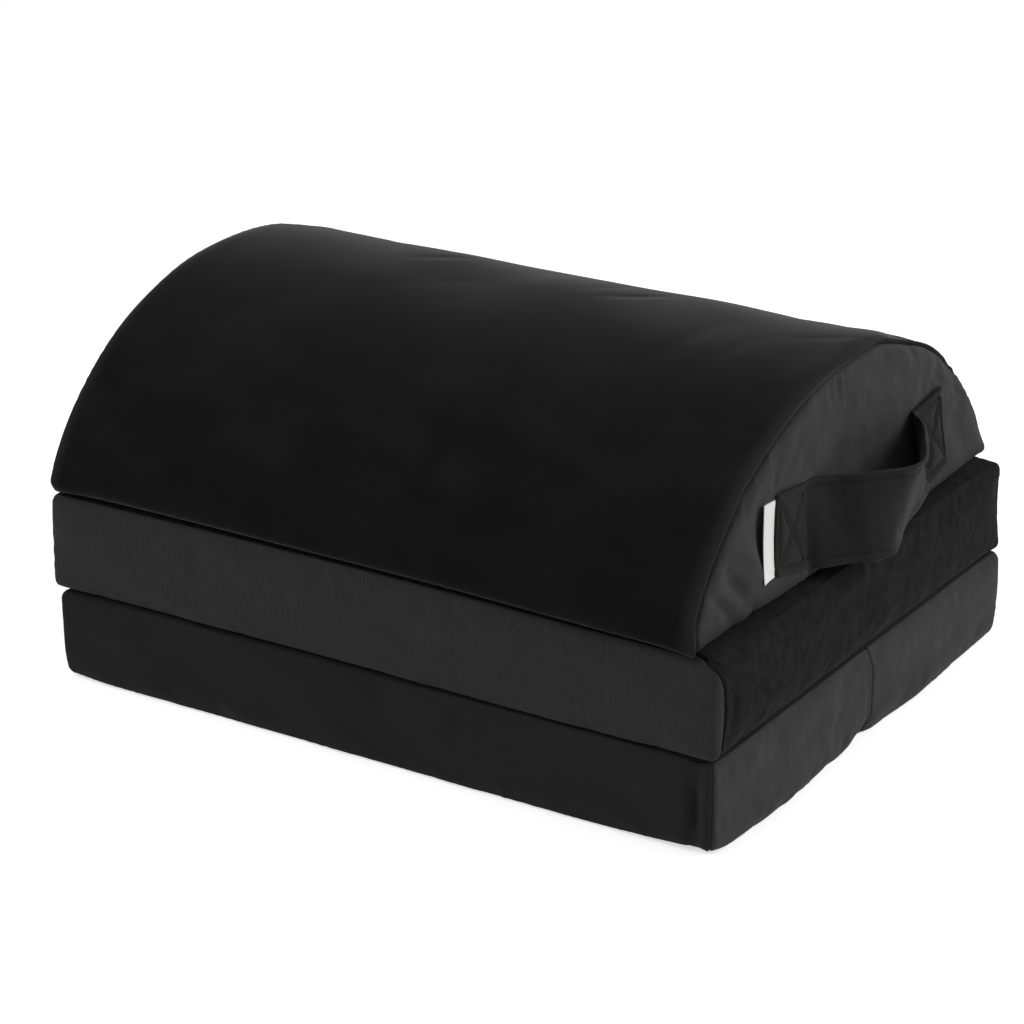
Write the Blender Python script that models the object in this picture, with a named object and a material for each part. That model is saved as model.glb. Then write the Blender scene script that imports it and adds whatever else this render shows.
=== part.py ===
"""Foam footrest: three zip-covered foam layers stacked on each other.

A base pad and a middle pad, both flat blocks, carry a half-round top cushion
with a sewn fabric handle on its right end.  Hook-and-loop strips join the
layers, so each layer lifts straight off the one below.

Metres, +Z up.  X runs along the footrest with the handle at +X, -Y is the
front, and the origin is the centre of the base pad's underside.
"""

import math

import bmesh
import bpy
import numpy as np
from mathutils import Matrix, Vector

# Pads
BASE_LENGTH = 0.426
BASE_HEIGHT = 0.052
MIDDLE_LENGTH = 0.430
MIDDLE_HEIGHT = 0.056
PAD_DEPTH = 0.340
PAD_EDGE_RADIUS = 0.006
SIDE_BULGE = 0.0015
MIDDLE_SHIFT_X = -0.002

# Half-round top cushion
DOME_LENGTH = 0.4095
DOME_DEPTH = 0.340
DOME_HEIGHT = 0.1065
DOME_EDGE_RADIUS = 0.007
DOME_SHIFT_X = -0.007
DOME_SHIFT_Y = -0.0027
# The arch is height * (1 - |u| ** ROUND) ** LIFT, with u from -1 to 1 across
DOME_ROUND = 2.16
DOME_LIFT = 0.76

# Covers
COVER_THICKNESS = 0.0012
SEAT_GAP = 0.0003
DOME_SEAM_DEGREES = 60.0
EDGE_SEAM_DEGREES = 45.0
# Where the right end of the base pad is pieced together, front to back
BASE_JOIN_Y = 0.004
# The middle pad's front fabric wraps the right front corner this far round
FRONT_WRAP_DEGREES = 82.0

# Hook-and-loop strips between the layers, set in from the shorter layer's edges
STRIP_THICKNESS = 0.0009
STRIP_WIDTH = 0.025
STRIP_END_MARGIN = 0.068
STRIP_SIDE_MARGIN = 0.040

# Zips in the rear faces
ZIP_LENGTH = 0.320
ZIP_SLOT_HEIGHT = 0.012
ZIP_END_MARGIN = 0.004
CHAIN_WIDTH = 0.005
CHAIN_HEIGHT = 0.0012
DOME_ZIP_RISE = 0.022
SLIDER_LENGTH = 0.012
SLIDER_WIDTH = 0.0096
SLIDER_HEIGHT = 0.0038
BRIDGE_LENGTH = 0.0064
BRIDGE_WIDTH = 0.0014
BRIDGE_BAR = 0.0009
BRIDGE_CLEAR = 0.0019
PULL_LENGTH = 0.027
PULL_WIDTH = 0.0060
PULL_THICKNESS = 0.0010
PULL_EYE_LENGTH = 0.0042
PULL_EYE_CLEAR = 0.0005

# Handle: one strap, sewn down flat at both ends
STRAP_WIDTH = 0.0465
STRAP_THICKNESS = 0.0016
STRAP_RISE = 0.0066
FRONT_ROOT_Y = -0.052
REAR_ROOT_Y = 0.070
PATCH_LENGTH = 0.033
REAR_PATCH_LENGTH = 0.038
HANDLE_BULGE = 0.0370
LOOP_STANDOFF = 0.0130
# The strap's plan, as shares of the distance between roots and of the bulge
LOOP_SHARES = (
    (0.00, 0.00), (0.07, 0.05), (0.16, 0.38), (0.26, 0.67), (0.36, 0.91),
    (0.46, 1.00), (0.57, 0.91), (0.69, 0.70), (0.82, 0.44), (0.93, 0.18), (1.00, 0.00),
)
LOOP_STEPS = 4

# Side label
LABEL_WIDTH = 0.0120
LABEL_HEIGHT = 0.0450
LABEL_THICKNESS = 0.0008

# Facets
ARCH_STEPS = 28
ARC_STEPS = 2
LONG_STEPS = 6
TALL_STEPS = 3
CORNER_STEPS = 2 * ARC_STEPS
ARCH_SAMPLES = 400

RIGHT, REAR, LEFT, FRONT = range(4)
SIDE_NORMALS = ((1.0, 0.0), (0.0, 1.0), (-1.0, 0.0), (0.0, -1.0))
MERGE_DISTANCE = 0.000001

# Heights of the layers, from the floor up
LAYER_GAP = 2 * STRIP_THICKNESS + 3 * SEAT_GAP
MIDDLE_BOTTOM = BASE_HEIGHT + LAYER_GAP
MIDDLE_TOP = MIDDLE_BOTTOM + MIDDLE_HEIGHT
DOME_BOTTOM = MIDDLE_TOP + LAYER_GAP
FOAM_DEPTH = COVER_THICKNESS + SEAT_GAP
LOWER_STRIP_REACH = min(BASE_LENGTH, MIDDLE_LENGTH) / 2 - STRIP_END_MARGIN
UPPER_STRIP_REACH = min(MIDDLE_LENGTH, DOME_LENGTH) / 2 - STRIP_END_MARGIN
STRIP_LENGTH = min(PAD_DEPTH, DOME_DEPTH) - 2 * STRIP_SIDE_MARGIN
HANDLE_FACE_X = DOME_SHIFT_X + DOME_LENGTH / 2
STRAP_BOTTOM = DOME_BOTTOM + STRAP_RISE
STRAP_MIDDLE = STRAP_BOTTOM + STRAP_WIDTH / 2
PATCH_THICKNESS = 2 * STRAP_THICKNESS


def clear_scene():
    for item in list(bpy.data.objects):
        bpy.data.objects.remove(item, do_unlink=True)


def material(name, colour, roughness, metallic=0.0):
    found = bpy.data.materials.get(name)
    if found:
        return found
    made = bpy.data.materials.new(name)
    made.use_nodes = True
    shader = made.node_tree.nodes["Principled BSDF"]
    shader.inputs["Base Color"].default_value = (*colour, 1.0)
    shader.inputs["Roughness"].default_value = roughness
    shader.inputs["Metallic"].default_value = metallic
    made.diffuse_color = (*colour, 1.0)
    return made


def velour():
    return material("black_velour", (0.010, 0.010, 0.011), 0.9)


def end_cloth():
    return material("charcoal_cloth", (0.036, 0.036, 0.037), 0.85)


def matte_cloth():
    return material("matte_cloth", (0.014, 0.014, 0.014), 0.9)


def knit():
    return material("speckled_knit", (0.020, 0.020, 0.021), 0.8)


def plush():
    return material("black_plush", (0.012, 0.012, 0.012), 1.0)


def strap_cloth():
    return material("strap_cloth", (0.018, 0.018, 0.018), 0.7)


def foam():
    return material("grey_foam", (0.20, 0.20, 0.21), 0.95)


def non_slip():
    return material("non_slip_cloth", (0.008, 0.008, 0.008), 0.6)


def hook():
    return material("hook_tape", (0.014, 0.014, 0.014), 0.55)


def pile_tape():
    return material("loop_tape", (0.016, 0.016, 0.017), 0.95)


def zip_cloth():
    return material("zip_tape", (0.010, 0.010, 0.010), 0.7)


def zip_metal():
    return material("zip_metal", (0.030, 0.030, 0.032), 0.35, 0.8)


def label_cloth():
    return material("white_label", (0.80, 0.80, 0.79), 0.6)


def empty(name, location, rotation=None, parent=None):
    frame = bpy.data.objects.new(name, None)
    bpy.context.scene.collection.objects.link(frame)
    turn = rotation.to_4x4() if rotation else Matrix.Identity(4)
    frame.matrix_world = Matrix.Translation(location) @ turn
    if parent:
        bpy.context.view_layer.update()
        frame.parent = parent
        frame.matrix_parent_inverse = parent.matrix_world.inverted()
    return frame


def body_object(name, mesh, finish, frame):
    """Link a mesh, written in the frame's own axes, under that frame."""
    made = bpy.data.objects.new(name, mesh)
    bpy.context.scene.collection.objects.link(made)
    mesh.materials.append(finish)
    made.parent = frame
    return made


def close_mesh(name, bm, frame=None, smooth_degrees=40.0):
    """Merge collapsed corners, turn faces out and move world points into a frame."""
    bmesh.ops.remove_doubles(bm, verts=bm.verts, dist=MERGE_DISTANCE)
    bmesh.ops.dissolve_degenerate(bm, edges=bm.edges, dist=MERGE_DISTANCE)
    bmesh.ops.recalc_face_normals(bm, faces=bm.faces)
    if frame:
        bmesh.ops.transform(bm, matrix=frame.matrix_world.inverted(), verts=bm.verts)
    mesh = bpy.data.meshes.new(name)
    bm.to_mesh(mesh)
    bm.free()
    mesh.shade_smooth()
    mesh.set_sharp_from_angle(angle=math.radians(smooth_degrees))
    return mesh


def add_rows(bm, rows):
    return [[bm.verts.new(point) for point in row] for row in rows]


def bridge_rows(bm, first, second, closed):
    count = len(first)
    for k in range(count if closed else count - 1):
        n = (k + 1) % count
        bm.faces.new((first[k], first[n], second[n], second[k]))


def sheet_mesh(bm, outer, inner):
    """A thick open sheet: two grids of points and the rim that joins them."""
    out = add_rows(bm, outer)
    back = add_rows(bm, inner)
    for rows in (out, back):
        for first, second in zip(rows[:-1], rows[1:]):
            bridge_rows(bm, first, second, False)
    for rim_out, rim_in in (
        (out[0], back[0]),
        (out[-1], back[-1]),
        ([row[0] for row in out], [row[0] for row in back]),
        ([row[-1] for row in out], [row[-1] for row in back]),
    ):
        bridge_rows(bm, rim_out, rim_in, False)


def cap_mesh(bm, outer, inner):
    """A thick cap: rings that shrink to a flat middle, outside and inside."""
    out = add_rows(bm, outer)
    back = add_rows(bm, inner)
    for rings in (out, back):
        for first, second in zip(rings[:-1], rings[1:]):
            bridge_rows(bm, first, second, True)
        bm.faces.new(rings[-1])
    bridge_rows(bm, out[0], back[0], True)


def closed_loft(bm, rings):
    """A solid through a row of closed rings, with a flat face at each end."""
    made = add_rows(bm, rings)
    for first, second in zip(made[:-1], made[1:]):
        bridge_rows(bm, first, second, True)
    bm.faces.new(made[0])
    bm.faces.new(made[-1])


def box_mesh(bm, low, high):
    sizes = [b - a for a, b in zip(low, high)]
    middle = [(a + b) / 2 for a, b in zip(low, high)]
    spread = Matrix.Translation(middle) @ Matrix.Diagonal((*sizes, 1.0))
    bmesh.ops.create_cube(bm, size=1.0, matrix=spread)


def prism_mesh(bm, outline, place, low, high):
    """Extrude a flat outline from low to high; place(a, b, c) gives the point."""
    rings = [[place(a, b, level) for a, b in outline] for level in (low, high)]
    closed_loft(bm, rings)


def boolean(target, tool, operation):
    tool.hide_render = True
    tool.display_type = "WIRE"
    cut = target.modifiers.new(operation.lower(), "BOOLEAN")
    cut.operation = operation
    cut.solver = "EXACT"
    cut.object = tool
    return cut


# Pads: a box core with a ball rolled round it, so each edge and corner is round


class Pad:
    def __init__(self, length, height, bottom, shift_x, bulges):
        self.half_x = length / 2 - PAD_EDGE_RADIUS
        self.half_y = PAD_DEPTH / 2 - PAD_EDGE_RADIUS
        self.low = bottom + PAD_EDGE_RADIUS
        self.high = bottom + height - PAD_EDGE_RADIUS
        self.shift_x = shift_x
        self.bulges = bulges
        if RIGHT in bulges:
            self.half_x -= SIDE_BULGE

    def side_ends(self, side):
        hx, hy = self.half_x, self.half_y
        corners = ((hx, -hy), (hx, hy), (-hx, hy), (-hx, -hy))
        return corners[side], corners[(side + 1) % 4]

    def side_length(self, side):
        first, second = self.side_ends(side)
        return math.dist(first, second)

    def core(self, turn):
        """Core point and flat normal at a place round the pad.

        From 2k to 2k+1 lies side k, and from 2k+1 to 2k+2 the corner after it.
        """
        turn = turn % 8
        side = int(turn // 2)
        along = turn - 2 * side
        first, second = self.side_ends(side)
        if along <= 1:
            x = first[0] + (second[0] - first[0]) * along
            y = first[1] + (second[1] - first[1]) * along
            return x, y, SIDE_NORMALS[side], side, along
        angle = math.radians(90) * (side + along - 1)
        return *second, (math.cos(angle), math.sin(angle)), side, 1.0

    def bulge(self, side, along, height):
        if side not in self.bulges:
            return 0.0
        level = (height - self.low) / (self.high - self.low)
        across = 1 - (2 * along - 1) ** 4
        return SIDE_BULGE * across * (1 - (2 * level - 1) ** 2)

    def point(self, turn, height, tilt, depth):
        """Skin point at a depth under the surface; tilt is the normal's rise."""
        x, y, flat, side, along = self.core(turn)
        reach = (PAD_EDGE_RADIUS - depth) * math.cos(tilt) + self.bulge(side, along, height)
        rise = (PAD_EDGE_RADIUS - depth) * math.sin(tilt)
        return (x + flat[0] * reach + self.shift_x, y + flat[1] * reach, height + rise)


def turns_between(pad, start, end):
    """Stations round a pad from one seam to the next, with every corner step."""
    stations = {start, end}
    first = int(math.floor(start)) - 1
    for whole in range(first, int(math.ceil(end)) + 1):
        straight = whole % 2 == 0
        side = (whole % 8) // 2
        steps = CORNER_STEPS
        if straight:
            steps = LONG_STEPS if side in pad.bulges else 1
        for k in range(steps + 1):
            place = whole + k / steps
            if start < place < end:
                stations.add(place)
    return sorted(stations)


def corner_seam(side, degrees=EDGE_SEAM_DEGREES):
    """Place round the pad, in the corner after a side, where a seam runs."""
    return 2 * side + 1 + degrees / 90


def seam_share(pad, turn):
    """Half the seam gap, as a share of the stretch that the seam is in."""
    turn = turn % 8
    side = int(turn // 2)
    straight = turn - 2 * side <= 1
    stretch = pad.side_length(side) if straight else PAD_EDGE_RADIUS * math.pi / 2
    return SEAT_GAP / 2 / stretch


def edge_gap_angle(radius):
    return SEAT_GAP / 2 / radius


def belt_rows(pad):
    """Heights and tilts of a side panel's rows, from the lower to the upper seam."""
    seam = math.radians(EDGE_SEAM_DEGREES) - edge_gap_angle(PAD_EDGE_RADIUS)
    arc = [seam * k / ARC_STEPS for k in range(ARC_STEPS, 0, -1)]
    rows = [(pad.low, -tilt) for tilt in arc]
    for k in range(TALL_STEPS + 1):
        rows.append((pad.low + (pad.high - pad.low) * k / TALL_STEPS, 0.0))
    rows += [(pad.high, tilt) for tilt in reversed(arc)]
    return rows


def side_panel(name, pad, start, end, finish, frame):
    first = start + seam_share(pad, start)
    last = end - seam_share(pad, end)
    stations = turns_between(pad, first, last)
    grids = []
    for depth in (0.0, COVER_THICKNESS):
        grids.append([[pad.point(t, h, tilt, depth) for t in stations] for h, tilt in belt_rows(pad)])
    bm = bmesh.new()
    sheet_mesh(bm, *grids)
    return body_object(name, close_mesh(name, bm, frame), finish, frame)


def face_panel(name, pad, up, finish, frame):
    """Top (up 1) or base (up -1) panel, out to the seam on the rounded edge."""
    seam = math.radians(EDGE_SEAM_DEGREES) + edge_gap_angle(PAD_EDGE_RADIUS)
    stations = turns_between(pad, 0.0, 8.0)[:-1]
    height = pad.high if up > 0 else pad.low
    tilts = [seam + (math.pi / 2 - seam) * k / ARC_STEPS for k in range(ARC_STEPS + 1)]
    grids = []
    for depth in (0.0, COVER_THICKNESS):
        grids.append([[pad.point(t, height, up * tilt, depth) for t in stations] for tilt in tilts])
    bm = bmesh.new()
    cap_mesh(bm, *grids)
    return body_object(name, close_mesh(name, bm, frame), finish, frame)


def pad_foam(name, pad, frame):
    stations = turns_between(pad, 0.0, 8.0)[:-1]
    tilts = [math.pi / 2 * k / (2 * ARC_STEPS) for k in range(2 * ARC_STEPS, 0, -1)]
    rows = [(pad.low, -tilt) for tilt in tilts]
    for k in range(TALL_STEPS + 1):
        rows.append((pad.low + (pad.high - pad.low) * k / TALL_STEPS, 0.0))
    rows += [(pad.high, tilt) for tilt in reversed(tilts)]
    bm = bmesh.new()
    closed_loft(bm, [[pad.point(t, h, tilt, FOAM_DEPTH) for t in stations] for h, tilt in rows])
    return body_object(name, close_mesh(name, bm, frame), foam(), frame)


def strips(prefix, finish, bottom, shift_x, reach, frame):
    """Two flat strips, left and right, that run front to back between layers."""
    for label, side in (("left", -1), ("right", 1)):
        middle = shift_x + side * reach
        bm = bmesh.new()
        low = (middle - STRIP_WIDTH / 2, -STRIP_LENGTH / 2, bottom)
        high = (middle + STRIP_WIDTH / 2, STRIP_LENGTH / 2, bottom + STRIP_THICKNESS)
        box_mesh(bm, low, high)
        name = f"{prefix}_{label}"
        body_object(name, close_mesh(name, bm, frame), finish, frame)


# Zips: every piece is drawn in a zip's own axes, along, up and out


def zip_frame(name, y, z, out_y, out_z, parent):
    turn = Matrix(((-1.0, 0.0, 0.0), (0.0, -out_z, out_y), (0.0, out_y, out_z)))
    return empty(name, Vector((parent.location.x, y, z)), turn, parent)


def zip_piece(name, bm, finish, frame):
    return body_object(name, close_mesh(name, bm), finish, frame)


def zip_slot(panel, frame):
    bm = bmesh.new()
    half = ZIP_LENGTH / 2
    reach = 2 * COVER_THICKNESS
    box_mesh(bm, (-half, -ZIP_SLOT_HEIGHT / 2, -reach), (half, ZIP_SLOT_HEIGHT / 2, reach))
    tool = zip_piece(panel.name + "_slot", bm, zip_cloth(), frame)
    boolean(panel, tool, "DIFFERENCE")


def zip_tape(name, frame):
    """Both woven tapes and the closed chain, as one strip with a raised middle."""
    half = ZIP_SLOT_HEIGHT / 2 - SEAT_GAP
    chain = CHAIN_WIDTH / 2
    outline = (
        (-half, -COVER_THICKNESS), (half, -COVER_THICKNESS), (half, 0.0), (chain, 0.0),
        (chain, CHAIN_HEIGHT), (-chain, CHAIN_HEIGHT), (-chain, 0.0), (-half, 0.0),
    )
    bm = bmesh.new()
    end = ZIP_LENGTH / 2 - SEAT_GAP
    prism_mesh(bm, outline, lambda v, n, u: (u, v, n), -end, end)
    return zip_piece(name, bm, zip_cloth(), frame)


def zip_start():
    return -(ZIP_LENGTH / 2 - ZIP_END_MARGIN - SLIDER_LENGTH / 2)


def pivot_height():
    return SLIDER_HEIGHT + BRIDGE_CLEAR / 2


def zip_slider(name, frame):
    """A saddle over the chain with a bridge on top, open along the zip."""
    start = zip_start()
    wide = SLIDER_WIDTH / 2
    slot = CHAIN_WIDTH / 2 + SEAT_GAP
    roof = CHAIN_HEIGHT + SEAT_GAP
    saddle = (
        (-wide, SEAT_GAP), (-slot, SEAT_GAP), (-slot, roof), (slot, roof),
        (slot, SEAT_GAP), (wide, SEAT_GAP), (wide, SLIDER_HEIGHT), (-wide, SLIDER_HEIGHT),
    )
    bm = bmesh.new()
    ends = (-SLIDER_LENGTH / 2, SLIDER_LENGTH / 2)
    prism_mesh(bm, saddle, lambda v, n, u: (u, v, n), *ends)
    axis = empty(name + "_axis", frame.matrix_world @ Vector((start, 0.0, 0.0)),
                 frame.matrix_world.to_3x3(), frame)
    slider = zip_piece(name, bm, zip_metal(), axis)
    foot = SLIDER_HEIGHT - BRIDGE_BAR / 2
    under = SLIDER_HEIGHT + BRIDGE_CLEAR
    out, inside = BRIDGE_LENGTH / 2, BRIDGE_LENGTH / 2 - BRIDGE_BAR
    arch = (
        (-out, foot), (-inside, foot), (-inside, under), (inside, under),
        (inside, foot), (out, foot), (out, under + BRIDGE_BAR), (-out, under + BRIDGE_BAR),
    )
    bm = bmesh.new()
    prism_mesh(bm, arch, lambda u, n, v: (u, v, n), -BRIDGE_WIDTH / 2, BRIDGE_WIDTH / 2)
    tool = zip_piece(name + "_bridge", bm, zip_metal(), axis)
    boolean(slider, tool, "UNION")
    return axis


def zip_pull(name, slider_axis):
    """A flat tab whose eye turns under the bridge; at rest it lies along the chain."""
    place = slider_axis.matrix_world @ Vector((0.0, 0.0, pivot_height()))
    axis = empty(name + "_axis", place, slider_axis.matrix_world.to_3x3(), slider_axis)
    half = PULL_THICKNESS / 2
    wide = PULL_WIDTH / 2
    tip = PULL_LENGTH - half
    chamfer = wide / 2
    outline = (
        (-half, -wide), (tip - chamfer, -wide), (tip, -chamfer),
        (tip, chamfer), (tip - chamfer, wide), (-half, wide),
    )
    bm = bmesh.new()
    prism_mesh(bm, outline, lambda u, v, n: (u, v, n), -half, half)
    pull = zip_piece(name, bm, zip_metal(), axis)
    bm = bmesh.new()
    eye = BRIDGE_WIDTH / 2 + PULL_EYE_CLEAR
    low = (half, -eye, -PULL_THICKNESS)
    high = (half + PULL_EYE_LENGTH, eye, PULL_THICKNESS)
    box_mesh(bm, low, high)
    boolean(pull, zip_piece(name + "_eye", bm, zip_metal(), axis), "DIFFERENCE")


def zip_set(prefix, panel, y, z, out_y, out_z, frame):
    axes = zip_frame(prefix + "_zip_frame", y, z, out_y, out_z, frame)
    zip_slot(panel, axes)
    zip_tape(prefix + "_zip_tape", axes)
    slider_axis = zip_slider(prefix + "_zip_slider", axes)
    zip_pull(prefix + "_zip_pull", slider_axis)


# Top cushion: an arched core with a ball rolled round it


def arch_station(share):
    """Core point and normal across the arch; share 0 is the front, 1 the rear."""
    half = DOME_DEPTH / 2 - DOME_EDGE_RADIUS
    height = DOME_HEIGHT - 2 * DOME_EDGE_RADIUS
    angle = math.pi * share
    u = -math.cos(angle)
    fall = max(1 - abs(u) ** DOME_ROUND, 0.0)
    y, z = half * u, height * fall ** DOME_LIFT
    if share <= 0.0 or share >= 1.0:
        return y, 0.0, math.copysign(1.0, u), 0.0
    slope_y = half * math.sin(angle)
    steep = abs(u) ** (DOME_ROUND - 1) * math.copysign(1.0, u)
    slope_z = -height * DOME_LIFT * DOME_ROUND * fall ** (DOME_LIFT - 1) * steep * math.sin(angle)
    size = math.hypot(slope_y, slope_z)
    return y, z, -slope_z / size, slope_y / size


def dome_point(x_core, y_core, z_core, normal, depth):
    reach = DOME_EDGE_RADIUS - depth
    base = DOME_BOTTOM + DOME_EDGE_RADIUS
    return (
        DOME_SHIFT_X + x_core + normal[0] * reach,
        DOME_SHIFT_Y + y_core + normal[1] * reach,
        base + z_core + normal[2] * reach,
    )


def dome_half_x():
    return DOME_LENGTH / 2 - DOME_EDGE_RADIUS


def dome_rows(skirt_angle):
    """Rows across the cushion, front to back: core (y, z), normal (y, z), drop.

    The skirt rows turn under the front and rear edges; drop is their fall.
    """
    half = DOME_DEPTH / 2 - DOME_EDGE_RADIUS
    drops = [skirt_angle * k / ARC_STEPS for k in range(ARC_STEPS, 0, -1)]
    rows = [(-half, 0.0, -1.0, 0.0, drop) for drop in drops]
    for k in range(ARCH_STEPS + 1):
        rows.append((*arch_station(k / ARCH_STEPS), 0.0))
    rows += [(half, 0.0, 1.0, 0.0, drop) for drop in reversed(drops)]
    return rows


def skin_normal(row, round_end):
    """Normal on a row at an angle round the end edge; the skirt dips below."""
    drop = row[4]
    flat = math.cos(round_end)
    return (
        math.cos(drop) * math.sin(round_end),
        math.cos(drop) * flat * row[2],
        math.cos(drop) * flat * row[3] - math.sin(drop),
    )


def edge_seam():
    return math.radians(EDGE_SEAM_DEGREES)


def dome_top_panel(frame):
    gap = edge_gap_angle(DOME_EDGE_RADIUS)
    seam = math.radians(DOME_SEAM_DEGREES) - gap
    rounds = [seam * k / CORNER_STEPS for k in range(CORNER_STEPS + 1)]
    half = dome_half_x()
    columns = [(-half, -angle) for angle in reversed(rounds)] + [(half, angle) for angle in rounds]
    rows = dome_rows(edge_seam() - gap)
    grids = []
    for depth in (0.0, COVER_THICKNESS):
        grid = []
        for row in rows:
            grid.append([dome_point(x, row[0], row[1], skin_normal(row, angle), depth)
                         for x, angle in columns])
        grids.append(grid)
    bm = bmesh.new()
    sheet_mesh(bm, *grids)
    name = "dome_top_panel"
    return body_object(name, close_mesh(name, bm, frame), velour(), frame)


def end_border():
    """Core (y, z) and normal of an end panel's border, all the way round."""
    gap = edge_gap_angle(DOME_EDGE_RADIUS)
    seam = math.radians(DOME_SEAM_DEGREES) + gap
    border = []
    for row in dome_rows(edge_seam() - gap):
        border.append((row[0], row[1], skin_normal(row, seam)))
    half = DOME_DEPTH / 2 - DOME_EDGE_RADIUS
    drop = edge_seam() - gap
    steps = CORNER_STEPS
    for k in range(1, steps + 1):
        turn = seam + (math.pi / 2 - seam) * k / steps
        border.append((half, 0.0, (math.cos(drop) * math.sin(turn),
                                   math.cos(drop) * math.cos(turn), -math.sin(drop))))
    for k in range(steps):
        turn = math.pi / 2 - (math.pi / 2 - seam) * k / steps
        border.append((-half, 0.0, (math.cos(drop) * math.sin(turn),
                                    -math.cos(drop) * math.cos(turn), -math.sin(drop))))
    return border


def blend_normal(normal, towards, share):
    mixed = Vector(normal).lerp(Vector(towards), share)
    return tuple(mixed.normalized())


def dome_end_panel(name, side, frame):
    border = end_border()
    half = dome_half_x()
    grids = []
    for depth in (0.0, COVER_THICKNESS):
        rings = []
        for k in range(ARC_STEPS + 1):
            ring = []
            for y, z, normal in border:
                way = blend_normal(normal, (1.0, 0.0, 0.0), k / ARC_STEPS)
                ring.append(dome_point(side * half, y, z, (side * way[0], way[1], way[2]), depth))
            rings.append(ring)
        grids.append(rings)
    bm = bmesh.new()
    cap_mesh(bm, *grids)
    return body_object(name, close_mesh(name, bm, frame), end_cloth(), frame)


def dome_base_panel(frame):
    """A flat panel with its edges turned up to the seam, as under the pads."""
    half_x, half_y = dome_half_x(), DOME_DEPTH / 2 - DOME_EDGE_RADIUS
    seam = edge_seam() + edge_gap_angle(DOME_EDGE_RADIUS)
    drops = [seam + (math.pi / 2 - seam) * k / ARC_STEPS for k in range(ARC_STEPS + 1)]
    corners = ((half_x, half_y), (-half_x, half_y), (-half_x, -half_y), (half_x, -half_y))
    grids = []
    for depth in (0.0, COVER_THICKNESS):
        rings = []
        for drop in drops:
            ring = []
            for quarter, (x, y) in enumerate(corners):
                for k in range(CORNER_STEPS + 1):
                    turn = math.pi / 2 * (quarter + k / CORNER_STEPS)
                    normal = (math.cos(drop) * math.cos(turn), math.cos(drop) * math.sin(turn),
                              -math.sin(drop))
                    ring.append(dome_point(x, y, 0.0, normal, depth))
            rings.append(ring)
        grids.append(rings)
    bm = bmesh.new()
    cap_mesh(bm, *grids)
    name = "dome_base_panel"
    return body_object(name, close_mesh(name, bm, frame), end_cloth(), frame)


def dome_foam(frame):
    """Closed sections along X; each is the arch with its own share of rounding."""
    half = dome_half_x()
    quarter = [math.pi / 2 * k / CORNER_STEPS for k in range(CORNER_STEPS + 1)]
    stations = [(-half, -angle) for angle in reversed(quarter)] + [(half, angle) for angle in quarter]
    rows = dome_rows(math.pi / 2)
    rings = []
    for x, angle in stations:
        ring = []
        for row in rows:
            drop = row[4]
            flat = math.cos(angle)
            normal = (
                math.sin(angle),
                flat * math.cos(drop) * row[2],
                flat * (math.cos(drop) * row[3] - math.sin(drop)),
            )
            ring.append(dome_point(x, row[0], row[1], normal, FOAM_DEPTH))
        rings.append(ring)
    bm = bmesh.new()
    closed_loft(bm, rings)
    return body_object("dome_foam", close_mesh("dome_foam", bm, frame), foam(), frame)


def rear_zip_place():
    """Point and outward normal on the rear of the arch at the zip's height."""
    places = np.linspace(0.5, 1.0, ARCH_SAMPLES)
    stations = np.array([arch_station(share) for share in places])
    heights = DOME_EDGE_RADIUS + stations[:, 1] + stations[:, 3] * DOME_EDGE_RADIUS
    depths = stations[:, 0] + stations[:, 2] * DOME_EDGE_RADIUS
    order = np.argsort(heights)
    values = [np.interp(DOME_ZIP_RISE, heights[order], column[order])
              for column in (depths, stations[:, 2], stations[:, 3])]
    size = math.hypot(values[1], values[2])
    return DOME_SHIFT_Y + values[0], DOME_BOTTOM + DOME_ZIP_RISE, values[1] / size, values[2] / size


# Handle


def strap_centreline():
    """Plan of the strap's middle from root to root, as (distance off face, y)."""
    shares = np.array(LOOP_SHARES)
    padded = np.vstack([2 * shares[0] - shares[1], shares, 2 * shares[-1] - shares[-2]])
    padded[0, 1] = shares[1, 1]
    padded[-1, 1] = shares[-2, 1]
    points = []
    for k in range(1, len(padded) - 2):
        a, b, c, d = padded[k - 1], padded[k], padded[k + 1], padded[k + 2]
        for step in range(LOOP_STEPS):
            t = step / LOOP_STEPS
            points.append(0.5 * (2 * b + (c - a) * t + (2 * a - 5 * b + 4 * c - d) * t ** 2
                                 + (3 * b - a - 3 * c + d) * t ** 3))
    points.append(shares[-1])
    points = np.array(points)
    off = SEAT_GAP + STRAP_THICKNESS * 1.5 + HANDLE_BULGE * points[:, 1]
    along = FRONT_ROOT_Y + (REAR_ROOT_Y - FRONT_ROOT_Y) * points[:, 0]
    return np.stack([off, along], 1)


def strap_sides():
    """The strap's inner and outer plan lines, half its thickness off the middle."""
    middle = strap_centreline()
    way = np.gradient(middle, axis=0)
    way[0] = way[-1] = (0.0, 1.0)
    way /= np.linalg.norm(way, axis=1)[:, None]
    normal = np.stack([way[:, 1], -way[:, 0]], 1)
    return middle - normal * STRAP_THICKNESS / 2, middle + normal * STRAP_THICKNESS / 2


def split_places():
    """Y of the two planes where the free loop starts, at its stand-off."""
    middle = strap_centreline()
    peak = int(middle[:, 0].argmax())
    front = np.interp(LOOP_STANDOFF, middle[:peak + 1, 0], middle[:peak + 1, 1])
    rear = np.interp(-LOOP_STANDOFF, -middle[peak:, 0], middle[peak:, 1])
    return float(front), float(rear)


def line_between(line, low, high):
    """The part of a plan line between two y values, with its ends on them."""
    inside = line[(line[:, 1] > low) & (line[:, 1] < high)]
    ends = [(float(np.interp(y, line[:, 1], line[:, 0])), y) for y in (low, high)]
    return [ends[0]] + [tuple(map(float, point)) for point in inside] + [ends[1]]


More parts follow.
